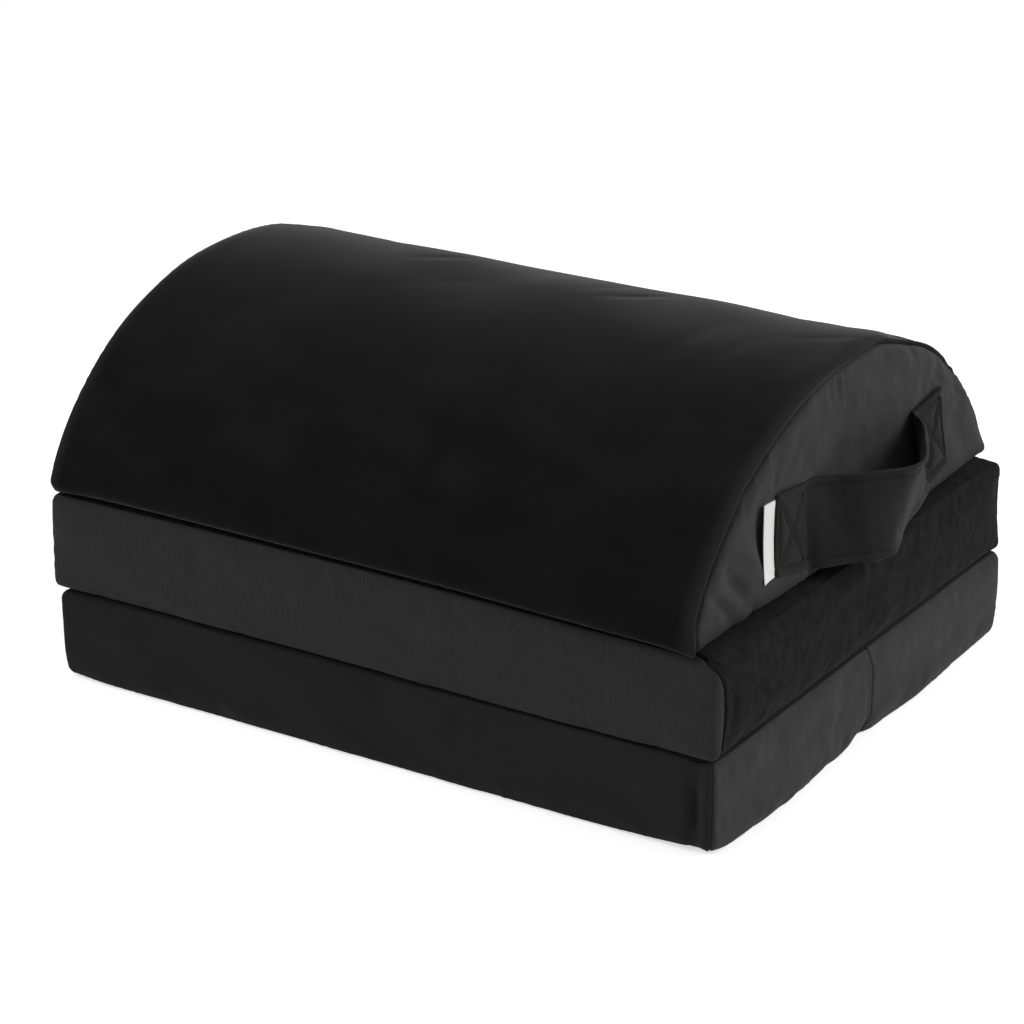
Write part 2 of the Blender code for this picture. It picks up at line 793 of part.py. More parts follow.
def strap_solid(name, outline, frame, finish):
    bm = bmesh.new()
    prism_mesh(bm, outline, lambda off, y, z: (HANDLE_FACE_X + off, y, z),
               STRAP_BOTTOM, STRAP_BOTTOM + STRAP_WIDTH)
    return body_object(name, close_mesh(name, bm, frame), finish, frame)


def strap_loop(parent):
    inner, outer = strap_sides()
    front, rear = split_places()
    low, high = front + SEAT_GAP / 2, rear - SEAT_GAP / 2
    outline = line_between(inner, low, high) + line_between(outer, low, high)[::-1]
    place = Vector((HANDLE_FACE_X + SEAT_GAP + 1.5 * STRAP_THICKNESS, 0.0, STRAP_MIDDLE))
    axis = empty("handle_axis", place, None, parent)
    return strap_solid("strap_loop", outline, axis, strap_cloth())


def strap_ends(frame):
    """Each end: a doubled patch flat on the end panel, then a short rising root."""
    inner, outer = strap_sides()
    front, rear = split_places()
    near, far = SEAT_GAP, SEAT_GAP + PATCH_THICKNESS
    start = FRONT_ROOT_Y - PATCH_LENGTH
    last = front - SEAT_GAP / 2
    under = line_between(inner, FRONT_ROOT_Y, last)
    over = line_between(outer, FRONT_ROOT_Y, last)
    outline = [(far, start), (near, start), (near, FRONT_ROOT_Y)] + under + over[::-1]
    strap_solid("strap_front_end", outline, frame, strap_cloth())
    start = REAR_ROOT_Y + REAR_PATCH_LENGTH
    first = rear + SEAT_GAP / 2
    under = line_between(inner, first, REAR_ROOT_Y)
    over = line_between(outer, first, REAR_ROOT_Y)
    outline = under + [(near, REAR_ROOT_Y), (near, start), (far, start)] + over[::-1]
    strap_solid("strap_rear_end", outline, frame, strap_cloth())


def side_label(frame):
    """A small folded label whose rear edge is caught under the strap's front patch."""
    rear = FRONT_ROOT_Y - PATCH_LENGTH - SEAT_GAP
    middle = STRAP_MIDDLE
    bm = bmesh.new()
    low = (HANDLE_FACE_X + SEAT_GAP, rear - LABEL_WIDTH, middle - LABEL_HEIGHT / 2)
    high = (HANDLE_FACE_X + SEAT_GAP + LABEL_THICKNESS, rear, middle + LABEL_HEIGHT / 2)
    box_mesh(bm, low, high)
    return body_object("side_label", close_mesh("side_label", bm, frame), label_cloth(), frame)


def base_pad():
    frame = empty("base_pad_frame", Vector((0.0, 0.0, 0.0)))
    pad = Pad(BASE_LENGTH, BASE_HEIGHT, 0.0, 0.0, (RIGHT, LEFT, FRONT))
    pad_foam("base_foam", pad, frame)
    face_panel("base_top_panel", pad, 1, matte_cloth(), frame)
    face_panel("base_non_slip_panel", pad, -1, non_slip(), frame)
    join = (BASE_JOIN_Y + pad.half_y) / (2 * pad.half_y)
    side_panel("base_front_panel", pad, corner_seam(LEFT), corner_seam(FRONT), matte_cloth(), frame)
    side_panel("base_left_panel", pad, corner_seam(REAR), corner_seam(LEFT), end_cloth(), frame)
    rear = side_panel("base_rear_panel", pad, corner_seam(RIGHT), corner_seam(REAR), matte_cloth(), frame)
    first = corner_seam(FRONT) - 8
    side_panel("base_end_panel_front", pad, first, join, end_cloth(), frame)
    side_panel("base_end_panel_rear", pad, join, corner_seam(RIGHT), end_cloth(), frame)
    zip_set("base", rear, PAD_DEPTH / 2, BASE_HEIGHT / 2, 1.0, 0.0, frame)
    strips("base_loop_strip", pile_tape(), BASE_HEIGHT + SEAT_GAP,
           MIDDLE_SHIFT_X, LOWER_STRIP_REACH, frame)
    return frame


def middle_pad(below):
    frame = empty("middle_pad_frame", Vector((MIDDLE_SHIFT_X, 0.0, MIDDLE_BOTTOM)), None, below)
    pad = Pad(MIDDLE_LENGTH, MIDDLE_HEIGHT, MIDDLE_BOTTOM, MIDDLE_SHIFT_X, (RIGHT, LEFT, FRONT))
    pad_foam("middle_foam", pad, frame)
    face_panel("middle_top_panel", pad, 1, plush(), frame)
    face_panel("middle_base_panel", pad, -1, end_cloth(), frame)
    wrap = corner_seam(FRONT, FRONT_WRAP_DEGREES)
    side_panel("middle_front_panel", pad, corner_seam(LEFT), wrap, knit(), frame)
    side_panel("middle_left_panel", pad, corner_seam(REAR), corner_seam(LEFT), plush(), frame)
    rear = side_panel("middle_rear_panel", pad, corner_seam(RIGHT), corner_seam(REAR), knit(), frame)
    side_panel("middle_right_panel", pad, wrap - 8, corner_seam(RIGHT), plush(), frame)
    zip_set("middle", rear, PAD_DEPTH / 2, MIDDLE_BOTTOM + MIDDLE_HEIGHT / 2, 1.0, 0.0, frame)
    strips("middle_hook_strip", hook(), MIDDLE_BOTTOM - SEAT_GAP - STRIP_THICKNESS,
           MIDDLE_SHIFT_X, LOWER_STRIP_REACH, frame)
    strips("middle_loop_strip", pile_tape(), MIDDLE_TOP + SEAT_GAP,
           DOME_SHIFT_X, UPPER_STRIP_REACH, frame)
    return frame


def top_cushion(below):
    place = Vector((DOME_SHIFT_X, DOME_SHIFT_Y, DOME_BOTTOM))
    frame = empty("top_cushion_frame", place, None, below)
    dome_foam(frame)
    cover = dome_top_panel(frame)
    dome_end_panel("dome_right_panel", 1, frame)
    dome_end_panel("dome_left_panel", -1, frame)
    dome_base_panel(frame)
    zip_set("dome", cover, *rear_zip_place(), frame)
    strips("dome_hook_strip", hook(), DOME_BOTTOM - SEAT_GAP - STRIP_THICKNESS,
           DOME_SHIFT_X, UPPER_STRIP_REACH, frame)
    strap_ends(frame)
    strap_loop(frame)
    side_label(frame)


def main():
    clear_scene()
    base = base_pad()
    middle = middle_pad(base)
    top_cushion(middle)


main()
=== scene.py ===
"""Foam footrest dressed in cloth: two flat pads, a half-round cushion and a strap.

Every piece is a surface worked out with numpy in metres, +Z up, in the frame of
the solids.  X runs along the footrest with the strap at +X and -Y is the front.
"""

import math

import bmesh
import bpy
import numpy as np
from bpy.props import FloatProperty, FloatVectorProperty, PointerProperty
from mathutils import Matrix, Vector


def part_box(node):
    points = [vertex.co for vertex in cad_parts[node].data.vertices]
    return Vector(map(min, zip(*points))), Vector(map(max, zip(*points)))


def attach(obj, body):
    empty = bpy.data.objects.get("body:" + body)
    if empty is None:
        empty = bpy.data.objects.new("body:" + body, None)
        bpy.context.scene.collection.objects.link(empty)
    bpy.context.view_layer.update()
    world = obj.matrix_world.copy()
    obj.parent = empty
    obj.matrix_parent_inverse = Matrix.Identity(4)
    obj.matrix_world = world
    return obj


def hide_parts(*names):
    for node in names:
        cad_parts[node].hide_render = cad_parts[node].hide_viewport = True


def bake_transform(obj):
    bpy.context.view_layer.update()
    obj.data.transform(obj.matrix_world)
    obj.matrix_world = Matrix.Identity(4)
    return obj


bl_info = {
    "name": "Foam Footrest",
    "version": (1, 0, 0),
    "blender": (4, 5, 0),
    "location": "3D View > Sidebar > Footrest",
    "description": "Dresses a stacked foam footrest in its covers, zips, tapes and stitching",
    "category": "Add Mesh",
}

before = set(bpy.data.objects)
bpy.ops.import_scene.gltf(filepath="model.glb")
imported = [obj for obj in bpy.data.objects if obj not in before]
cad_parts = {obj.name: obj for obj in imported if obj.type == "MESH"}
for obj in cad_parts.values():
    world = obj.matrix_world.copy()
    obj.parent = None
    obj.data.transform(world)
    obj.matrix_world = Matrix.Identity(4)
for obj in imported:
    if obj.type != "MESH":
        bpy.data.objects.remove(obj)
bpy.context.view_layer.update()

MM = 0.001
RIGHT, REAR, LEFT, FRONT = range(4)
QUARTER = math.pi / 2


# Settings


def linear(code):
    """Linear colour of an sRGB hex value, channel by channel.

    A channel is divided by 12.92 up to 0.04045, and above that it is
    ((channel + 0.055) / 1.055) to the power 2.4.
    """
    srgb = np.array([int(code[k:k + 2], 16) for k in (1, 3, 5)]) / 255
    return tuple(np.where(srgb <= 0.04045, srgb / 12.92, ((srgb + 0.055) / 1.055) ** 2.4))


def size(name, millimetres, description):
    return FloatProperty(name=name, description=description, default=millimetres * MM, min=0.0,
                         unit="LENGTH", precision=5)


def turn(name, degrees, description):
    return FloatProperty(name=name, description=description, default=math.radians(degrees),
                         subtype="ANGLE")


def share(name, value, description):
    return FloatProperty(name=name, description=description, default=value, min=0.0)


def colour(name, code, description):
    return FloatVectorProperty(name=name, description=description, default=linear(code), size=3,
                               min=0.0, max=1.0, subtype="COLOR")


class PadSizes(bpy.types.PropertyGroup):
    edge_radius: size("Edge radius", 5.0, "Round of the foam's long and short edges")
    swell: size("Side swell", 1.9, "Furthest that a side stands proud of the flat foam")
    seam_turn: turn("Seam turn", 80.0, "How far round the edge the top and base seams run")
    wrap: size("Front wrap", 4.0, "How far past its corner the middle pad's front cloth reaches")
    join_y: size("End join", 4.0, "Where the base pad's right end is pieced, front to back")


class CushionSizes(bpy.types.PropertyGroup):
    edge_radius: size("Edge radius", 7.0, "Round of the edges of the half-round foam")
    seam_turn: turn("End seam turn", 67.0, "How far round the end edges the end seams run")
    rear_ease: share("Rear ease", 0.62, "Part of that turn that the end seams lose past the top")
    skirt_turn: turn("Skirt turn", 80.0, "How far the cover turns under the front and rear")
    arch_round: share("Arch round", 2.16, "Power of the arch across: 2 is an ellipse")
    arch_lift: share("Arch lift", 0.76, "Power of the arch's height: smaller is squarer")
    swell: size("Swell", 1.3, "Furthest that the cover stands proud of the foam")
    end_dip: size("End dip", 1.0, "How far an end falls towards its arched seam")
    end_reach: size("End reach", 5.0, "Distance from that seam over which it falls")


class CoverSizes(bpy.types.PropertyGroup):
    thickness: size("Cloth thickness", 1.1, "Cover cloth with its backing")
    seam_depth: size("Seam depth", 1.2, "Depth of the valley along a seam")
    seam_width: size("Seam width", 0.8, "Half width of that valley")
    ridge_height: size("Ridge height", 0.75, "Seam allowance that lies under the curved cloth")
    pucker: size("Pucker height", 0.14, "Height of the gathers beside a seam")
    pucker_reach: size("Pucker reach", 7.0, "How far the gathers run from a seam")
    drape: size("Drape height", 0.35, "Height of the slow unevenness of a panel")
    panel_step: size("Panel step", 2.2, "Distance between points on a cover panel")
    face_step: size("Face step", 5.0, "Distance between points on a hidden flat panel")
    blank_step: size("Blank step", 6.5, "Distance between points of the simulated cover")
    pressure: share("Pressure", 4.0, "Air pressure that swells the simulated cover")


class StrapSizes(bpy.types.PropertyGroup):
    thickness: size("Strap thickness", 1.7, "Doubled cloth of the strap")
    patch_thickness: size("Patch thickness", 2.9, "Strap where its end is folded under")
    hem_width: size("Hem width", 4.6, "Distance from a long edge to its stitching")
    front_patch: size("Front patch", 31.0, "Length of the front sewn end")
    rear_patch: size("Rear patch", 30.0, "Length of the rear sewn end")
    stitch_pitch: size("Stitch pitch", 3.2, "Distance between stitches")
    stitch_length: size("Stitch length", 2.3, "Length of thread that shows")
    thread: size("Thread", 0.42, "Thickness of the thread")
    stand_off: size("Stand-off", 17.0, "Distance off the end at which the loop swings freely")


class LabelSizes(bpy.types.PropertyGroup):
    width: size("Label width", 12.0, "From the sewn edge to the fold")
    height: size("Label height", 42.5, "Along the fold")
    thickness: size("Label thickness", 0.8, "Folded ribbon")
    lift: size("Label lift", 2.4, "How far the folded edge stands off the end panel")


class ZipSizes(bpy.types.PropertyGroup):
    length: size("Zip length", 320.0, "Opening in the cover")
    opening: size("Zip opening", 12.0, "Height of the opening between the folded edges")
    rise: size("Cushion zip rise", 22.0, "Height of the zip above the cushion's base")
    coil_pitch: size("Coil pitch", 1.5, "Distance between coil turns on one tape")
    coil_width: size("Coil width", 3.6, "Width of the closed chain")
    coil_height: size("Coil height", 1.1, "Height of the closed chain")
    tape_thickness: size("Tape thickness", 0.5, "Woven tape")
    lip: size("Lip height", 0.55, "Folded cloth edge beside the tape")
    stitch_inset: size("Stitch inset", 3.0, "From the folded edge to the stitching")


class TapeSizes(bpy.types.PropertyGroup):
    hook_pitch: size("Hook pitch", 2.1, "Distance between hooks")
    hook_height: size("Hook height", 0.55, "Height of a hook above its tape")
    selvedge: size("Selvedge", 1.8, "Plain woven edge with the sewing line")
    pile_step: size("Pile step", 0.9, "Distance between points of the loop pile")
    pile_height: size("Pile height", 0.35, "Height of the brushed loops")


class DotSizes(bpy.types.PropertyGroup):
    pitch: size("Dot pitch", 8.0, "Distance between rubber dots")
    radius: size("Dot radius", 1.5, "Radius of a dot")
    height: size("Dot height", 0.6, "Height of a dot below the cloth")


class FinishColours(bpy.types.PropertyGroup):
    velour: colour("Velour", "#101010", "Curved top of the cushion")
    end_cloth: colour("End cloth", "#383838", "Cushion ends and the base pad's ends")
    matte_cloth: colour("Matte cloth", "#222222", "Base pad's front and rear")
    knit: colour("Knit", "#292929", "Middle pad's front and rear")
    plush: colour("Plush", "#1D1D1D", "Middle pad's ends")
    strap: colour("Strap cloth", "#191919", "Strap handle")
    thread: colour("Thread", "#131313", "Sewing thread")
    label: colour("Label", "#F0F0EE", "Side label")
    foam: colour("Foam", "#B9BBC0", "Foam blocks")
    tape: colour("Tape", "#1A1A1B", "Zip, hook and loop tapes")
    coil: colour("Coil", "#202022", "Zip coil")
    metal: colour("Zip metal", "#2B2B2D", "Slider and pull")
    dots: colour("Dots", "#242426", "Rubber dots")
    floor: colour("Floor", "#F4F4F4", "Floor")


class StageSettings(bpy.types.PropertyGroup):
    key: share("Key light", 27.5, "Watts of the large lamp on the strap's side")
    top: share("Top light", 5.0, "Watts of the lamp overhead")
    fill: share("Fill light", 22.0, "Watts of the lamp in front")
    world: share("World", 0.2, "Strength of the even light all round")
    glow: share("Floor glow", 0.62, "How much lighter the floor looks than it is lit")
    lens: share("Lens", 113.4, "Focal length in millimetres on a 36 mm sensor")


class FootrestSettings(bpy.types.PropertyGroup):
    pad: PointerProperty(type=PadSizes)
    cushion: PointerProperty(type=CushionSizes)
    cover: PointerProperty(type=CoverSizes)
    strap: PointerProperty(type=StrapSizes)
    label: PointerProperty(type=LabelSizes)
    zip: PointerProperty(type=ZipSizes)
    tape: PointerProperty(type=TapeSizes)
    dots: PointerProperty(type=DotSizes)
    colours: PointerProperty(type=FinishColours)
    stage: PointerProperty(type=StageSettings)


# Arrays: stations, noise and resampling


SEAM_STATIONS = np.array((0.0, 0.4, 0.8, 1.2, 1.7, 2.3, 3.1, 4.2)) * MM


def graded(length, step, marks=()):
    """Stations from 0 to a length: close together at both ends, then evenly spaced.

    Marks are stations that must be there, and the ones too near them are dropped.
    """
    near = SEAM_STATIONS[SEAM_STATIONS < length / 3]
    count = max(int(round((length - 2 * near[-1]) / step)), 1)
    between = np.linspace(near[-1], length - near[-1], count + 1)[1:-1]
    stations = np.concatenate([near, between, length - near[::-1]])
    if len(marks) == 0:
        return stations
    marks = np.asarray(marks)
    clear = np.abs(stations[:, None] - marks).min(1) > step / 4
    clear[[0, -1]] = True
    return np.sort(np.concatenate([stations[clear], marks]))


def even(length, step):
    return np.linspace(0.0, length, max(int(round(length / step)), 1) + 1)


def wander(seed, wavelength, *axes, waves=14):
    """Smooth noise of about unit height: a sum of cosines in random directions.

    Each cosine has a random phase and a wavelength from 0.6 to 1.7 times the given one.
    """
    draw = np.random.default_rng(seed)
    total = 0.0
    for _ in range(waves):
        way = draw.normal(size=len(axes))
        way /= np.linalg.norm(way)
        spin = 2 * math.pi / (wavelength * draw.uniform(0.6, 1.7))
        total = total + np.cos(spin * sum(w * a for w, a in zip(way, axes)) + draw.uniform(0, 6.3))
    return total * math.sqrt(2 / waves)


def bell(distance, width):
    """1 at zero distance, falling as exp(-(distance / width) squared)."""
    return np.exp(-(distance / width) ** 2)


def nudged(points, nudges):
    """Each nudge moves the points by its shift times a bell round its centre.

    The bell is exp(-sum of ((point - centre) / reach)^2), all in millimetres.
    """
    total = 0.0
    for centre, reach, shift in nudges:
        away = (points / MM - np.array(centre)) / np.array(reach)
        total = total + np.exp(-(away ** 2).sum(-1, keepdims=True)) * np.array(shift) * MM
    return points + total


def run_along(points):
    """Distance along a row of points from the first to each."""
    return np.concatenate([[0.0], np.cumsum(np.linalg.norm(np.diff(points, axis=0), axis=1))])


def read_rows(places, run, rows):
    """Rows of numbers, given along a run, read at other places along it."""
    return np.stack([np.interp(places, run, column) for column in rows.T], -1)


def to_nearer_end(place, length):
    return np.minimum(place, length - place)


def spline_taps(count, places):
    """Catmull-Rom: the four samples round each fractional place, and their weights."""
    cell = np.clip(np.floor(places).astype(int), 0, count - 2)
    t = places - cell
    weights = (-t + 2 * t ** 2 - t ** 3, 2 - 5 * t ** 2 + 3 * t ** 3,
               t + 4 * t ** 2 - 3 * t ** 3, -t ** 2 + t ** 3)
    return [(np.clip(cell + k - 1, 0, count - 1), weights[k] / 2) for k in range(4)]


def read_field(field, rows, columns):
    """Read a grid of vectors at fractional rows and columns, smoothly."""
    rows, columns = np.broadcast_arrays(rows, columns)
    total = 0.0
    for row, down in spline_taps(field.shape[0], rows):
        for column, across in spline_taps(field.shape[1], columns):
            total = total + field[row, column] * (down * across)[..., None]
    return total


def unit(vectors):
    return vectors / np.maximum(np.linalg.norm(vectors, axis=-1, keepdims=True), 1e-12)


def grid_normals(points, towards=None):
    """Unit normals of a grid: the cross product of its two central differences."""
    normals = unit(np.cross(np.gradient(points, axis=1), np.gradient(points, axis=0)))
    if towards is not None:
        normals *= np.where((normals * towards).sum(-1, keepdims=True) < 0, -1.0, 1.0)
    return normals


# Meshes from arrays


def grid_quads(rows, columns):
    index = np.arange(rows * columns).reshape(rows, columns)
    corners = (index[:-1, :-1], index[:-1, 1:], index[1:, 1:], index[1:, :-1])
    return np.stack(corners, -1).reshape(-1, 4)


def facing(vertices, quads, towards):
    """Turn every quad round if most of them face away from the given directions."""
    p = vertices[quads]
    normals = np.cross(p[:, 2] - p[:, 0], p[:, 3] - p[:, 1])
    if (normals * towards).sum() < 0:
        return quads[:, ::-1]
    return quads


def shell(points, normals, thickness, keep=None):
    """Vertices and quads of a closed sheet: a grid, its copy below, and the rim.

    The copy lies at points - normals * thickness.  Every edge that only one kept
    quad uses gets a rim quad down to its copy.
    """
    count = points.shape[0] * points.shape[1]
    thickness = np.broadcast_to(thickness, points.shape[:2])[..., None]
    vertices = np.concatenate([points.reshape(-1, 3), (points - normals * thickness).reshape(-1, 3)])
    quads = grid_quads(*points.shape[:2])
    if keep is not None:
        quads = quads[keep.ravel()]
    quads = facing(vertices, quads, normals.reshape(-1, 3)[quads[:, 0]])
    edges = np.concatenate([quads[:, [k, (k + 1) % 4]] for k in range(4)])
    ordered = np.sort(edges, 1)
    _, first, uses = np.unique(ordered[:, 0] * count + ordered[:, 1],
                               return_index=True, return_counts=True)
    rim = edges[first[uses == 1]]
    side = np.stack([rim[:, 1], rim[:, 0], rim[:, 0] + count, rim[:, 1] + count], 1)
    return vertices, np.concatenate([quads, quads[:, ::-1] + count, side])


def quad_mesh(name, vertices, quads, uv=None, sharp_degrees=50.0):
    used, quads = np.unique(quads, return_inverse=True)
    quads = quads.reshape(-1, 4)
    mesh = bpy.data.meshes.new(name)
    mesh.from_pydata(vertices[used].tolist(), [], quads.tolist())
    if uv is not None:
        layer = mesh.uv_layers.new(name="cloth")
        layer.data.foreach_set("uv", uv[used][quads.ravel()].astype(np.float32).ravel())
    mesh.shade_smooth()
    mesh.set_sharp_from_angle(angle=math.radians(sharp_degrees))
    return mesh


def bead(cuts):
    """A closed ball of quads with radius 1: a cut cube pushed onto x^2 + y^2 + z^2 = 1."""
    line = np.linspace(-1, 1, cuts + 1)
    a, b = np.meshgrid(line, line, indexing="ij")
    c = np.ones_like(a)
    faces = [(a, b, c), (b, a, -c), (c, a, b), (-c, b, a), (b, c, a), (a, -c, b)]
    points = np.concatenate([np.stack(face, -1).reshape(-1, 3) for face in faces])
    side = (cuts + 1) ** 2
    quads = np.concatenate([grid_quads(cuts + 1, cuts + 1) + k * side for k in range(6)])
    key, inverse = np.unique(np.round(points, 6), axis=0, return_inverse=True)
    quads = inverse.ravel()[quads]
    key = unit(np.tan(key * math.pi / 4))
    centres = key[quads].mean(1)
    out = [facing(key, quads[k:k + 1], centres[k:k + 1]) for k in range(len(quads))]
    return key, np.concatenate(out)


def scatter(template, quads, origins, along, side, up):
    """Copies of a small mesh: origin + x * along + y * side + z * up for each copy."""
    frames = np.stack(np.broadcast_arrays(along, side, up), 1)
    vertices = origins[:, None] + np.einsum("kj,njc->nkc", template, frames)
    steps = np.arange(len(origins))[:, None, None] * len(template)
    return vertices.reshape(-1, 3), (quads[None] + steps).reshape(-1, 4)


def as_grid(points):
    """Vertices and quads of a grid of points."""
    return points.reshape(-1, 3), grid_quads(*points.shape[:2])


def link_object(name, data):
    made = bpy.data.objects.new(name, data)
    bpy.context.scene.collection.objects.link(made)
    return made


def add_piece(name, mesh, look, body, stands_for=()):
    """Link a finished mesh, give it its material and hang it on its body."""
    piece = link_object(name, mesh)
    mesh.materials.append(finish(look))
    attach(piece, body)
    if stands_for:
        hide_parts(*stands_for)


def sheet_mesh(name, points, normals, thickness, places, keep=None):
    """A closed sheet of cloth, with its places in metres as its UV map."""
    uv = np.tile(np.stack(places, -1).reshape(-1, 2), (2, 1))
    return quad_mesh(name, *shell(points, normals, thickness, keep), uv)


# Materials


def add_node(tree, kind, links=(), output=0, **settings):
    """Add a node, set its attributes, feed its inputs and give one of its outputs.

    The links are values or sockets, in a row for the first inputs or by their keys.
    """
    made = tree.nodes.new("ShaderNode" + kind)
    for name, value in settings.items():
        setattr(made, name, value)
    for key, value in links.items() if isinstance(links, dict) else enumerate(links):
        if isinstance(value, bpy.types.NodeSocket):
            tree.links.new(value, made.inputs[key])
        else:
            made.inputs[key].default_value = value
    return made.outputs[output]


def weighted_sum(tree, first, *rest):
    """Sum of each value times its weight."""
    total = add_node(tree, "Math", first, operation="MULTIPLY")
    for term in rest:
        part = add_node(tree, "Math", term, operation="MULTIPLY")
        total = add_node(tree, "Math", (total, part), operation="ADD")
    return total


def fresh_material(name, base, roughness, sockets):
    """A new material with its constants on the Principled shader's own sockets."""
    made = bpy.data.materials.new(name)
    made.use_nodes = True
    tree = made.node_tree
    shader = tree.nodes["Principled BSDF"]
    for socket, value in {"Base Color": (*base, 1.0), "Roughness": roughness, **sockets}.items():
        shader.inputs[socket].default_value = value
    made.diffuse_color = (*base, 1.0)
    return made, tree, shader


# Spreads the values from the second input to the third over 0 to 1
SPREAD = {"kind": "MapRange", "interpolation_type": "SMOOTHSTEP"}

# A wave texture's bands repeat every 2 pi / 20 units at scale 1
BAND_SCALE = 2 * math.pi / 20


def noise(tree, where, millimetres, detail=3.0, stretch=(1.0, 1.0, 1.0), spread=None):
    """Noise with features of that many millimetres, longer where stretch is above 1."""
    scale = [1 / (millimetres * MM * s) for s in stretch]
    mapped = add_node(tree, "Mapping", {"Vector": where, "Scale": scale})
    made = add_node(tree, "TexNoise", {"Vector": mapped, "Scale": 1.0, "Detail": detail}, "Fac")
    return add_node(tree, links=(made, *spread), **SPREAD) if spread else made


def weave(tree, where, millimetres, turn_degrees=0.0):
    """Threads that cross: the product of two rows of bands at that spacing."""
    turned = add_node(tree, "Mapping", {"Vector": where,
                                        "Rotation": (0, 0, math.radians(turn_degrees))})
    bands = {"Vector": turned, "Scale": BAND_SCALE / (millimetres * MM), "Distortion": 0.6,
             "Detail": 1.0}
    across, up = (add_node(tree, "TexWave", bands, "Fac", bands_direction=axis) for axis in "XY")
    return add_node(tree, "Math", (across, up), operation="MULTIPLY")


# Each pattern gives what varies the colour, the colour's shades at 0 and 1 as shares of
# the base, then the height of the bump, its full depth in millimetres and its strength


def velour_pattern(tree, where):
    clouds = noise(tree, where, 38.0, 4.0, (1.6, 1.0, 1.0), (0.35, 0.68))
    # Pile tufts are about 0.3 mm apart and are drawn at 0.8 mm so that they show
    pile = noise(tree, where, 0.8, 2.0)
    # Painted highlight: the last 12 mm before each end seam is lighter, most at 2 mm from the seam and
    # back to plain by 0.4 mm, where the velour rolls over the end edge towards the side lamp
    half = layer("cushion").length / 2
    run = add_node(tree, "SeparateXYZ", (where,), "X")
    off = add_node(tree, "Math", (run, half), operation="SUBTRACT")
    off = add_node(tree, "Math", (off,), operation="ABSOLUTE")
    painted_rim_highlight = add_node(tree, links=(off, half - 12 * MM, half - 2 * MM), **SPREAD)
    highlight_cutoff = add_node(tree, links=(off, half - 2 * MM, half - 0.4 * MM), **SPREAD)
    painted_rim_highlight = add_node(tree, "Math", (painted_rim_highlight, highlight_cutoff), operation="SUBTRACT")
    # The painted highlight takes most of the colour's weight, up to 3.9 times the base
    mixed = weighted_sum(tree, (clouds, 0.15), (pile, 0.15), (painted_rim_highlight, 0.7))
    return mixed, 0.55, 3.9, pile, 0.25, 0.5


def microfibre_pattern(tree, where, pulled=None):
    streaks = noise(tree, where, 5.0, 5.0, (1.0, 2.6, 1.0), (0.3, 0.72))
    clouds = noise(tree, where, 24.0, 4.0, spread=(0.3, 0.7))
    # The weave is about 0.25 mm and is drawn at 0.9 mm so that it shows
    fuzz = (weave(tree, where, 0.9), noise(tree, where, 0.9, 2.0))
    fuzz = add_node(tree, "Math", fuzz, operation="ADD")
    mixed = weighted_sum(tree, (streaks, 0.45), (clouds, 0.55))
    if pulled is None:
        return mixed, 0.8, 1.22, fuzz, 0.14, 0.5
    # Painted shade: half of the mask takes the colour down, to as little as 0.28 of the base
    mixed = weighted_sum(tree, (mixed, 0.45), (pulled, -0.5), (1.0, 0.55))
    return mixed, 0.28, 1.13, fuzz, 0.14, 0.5


def seam_shade_pattern(tree, where):
    """Painted shade on an end panel: dark where |y / across|^round + (z / height)^(1 / lift) nears 1 at
    the arched seam, on the front part (full before y = -70 mm, gone by +10 mm), and full on the roll
    down to the base seam as a painted shadow line.
    """
    cushion = layer("cushion")
    sizes = cushion.settings.cushion
    place = add_node(tree, "SeparateXYZ", (where,)).node.outputs
    y = add_node(tree, "Math", (place["X"], cushion.half_y + 3 * MM), operation="DIVIDE")
    y = add_node(tree, "Math", (y,), operation="ABSOLUTE")
    y = add_node(tree, "Math", (y, sizes.arch_round), operation="POWER")
    z = add_node(tree, "Math", (place["Y"], cushion.height + 3 * MM), operation="DIVIDE")
    z = add_node(tree, "Math", (z, 0.0), operation="MAXIMUM")
    z = add_node(tree, "Math", (z, 1 / sizes.arch_lift), operation="POWER")
    arch = add_node(tree, "Math", (y, z), operation="ADD")
    # Painted shade mask: near the arched seam on the front part, and along the base roll as a painted
    # shadow line
    near = add_node(tree, links=(arch, 0.87, 1.01), **SPREAD)
    forward = add_node(tree, links=(place["X"], 10 * MM, -70 * MM), **SPREAD)
    under = add_node(tree, links=(place["Y"], 3.5 * MM, -4.5 * MM), **SPREAD)
    pulled = add_node(tree, "Math", (near, forward), operation="MULTIPLY")
    pulled = add_node(tree, "Math", (pulled, under), operation="MAXIMUM")
    return microfibre_pattern(tree, where, pulled)


def suedette_pattern(tree, where):
    grain = noise(tree, where, 1.0)
    clouds = noise(tree, where, 30.0, 3.0, (2.0, 1.0, 1.0), (0.3, 0.7))
    return weighted_sum(tree, (grain, 0.5), (clouds, 0.5)), 0.8, 1.25, grain, 0.15, 0.5


def jersey_pattern(tree, where):
    # Stitches are about 0.5 mm wide; the specks are drawn at 0.9 mm so that they show
    specks = noise(tree, where, 0.9, 3.0, (1.0, 1.4, 1.0), (0.4, 0.75))
    ribs = noise(tree, where, 1.6, 2.0, (1.0, 6.0, 1.0), (0.3, 0.7))
    knit = add_node(tree, "Math", (weave(tree, where, 1.1), specks), operation="ADD")
    return weighted_sum(tree, (specks, 0.6), (ribs, 0.4)), 0.82, 1.4, knit, 0.16, 0.6


def plush_pattern(tree, where):
    streaks = noise(tree, where, 1.6, 5.0, (1.0, 1.8, 1.0), (0.3, 0.72))
    clumps = noise(tree, where, 6.0, 5.0, (1.0, 1.3, 1.0), (0.3, 0.7))
    mixed = weighted_sum(tree, (streaks, 0.4), (clumps, 0.6))
    return mixed, 0.6, 1.45, mixed, 0.45, 0.5


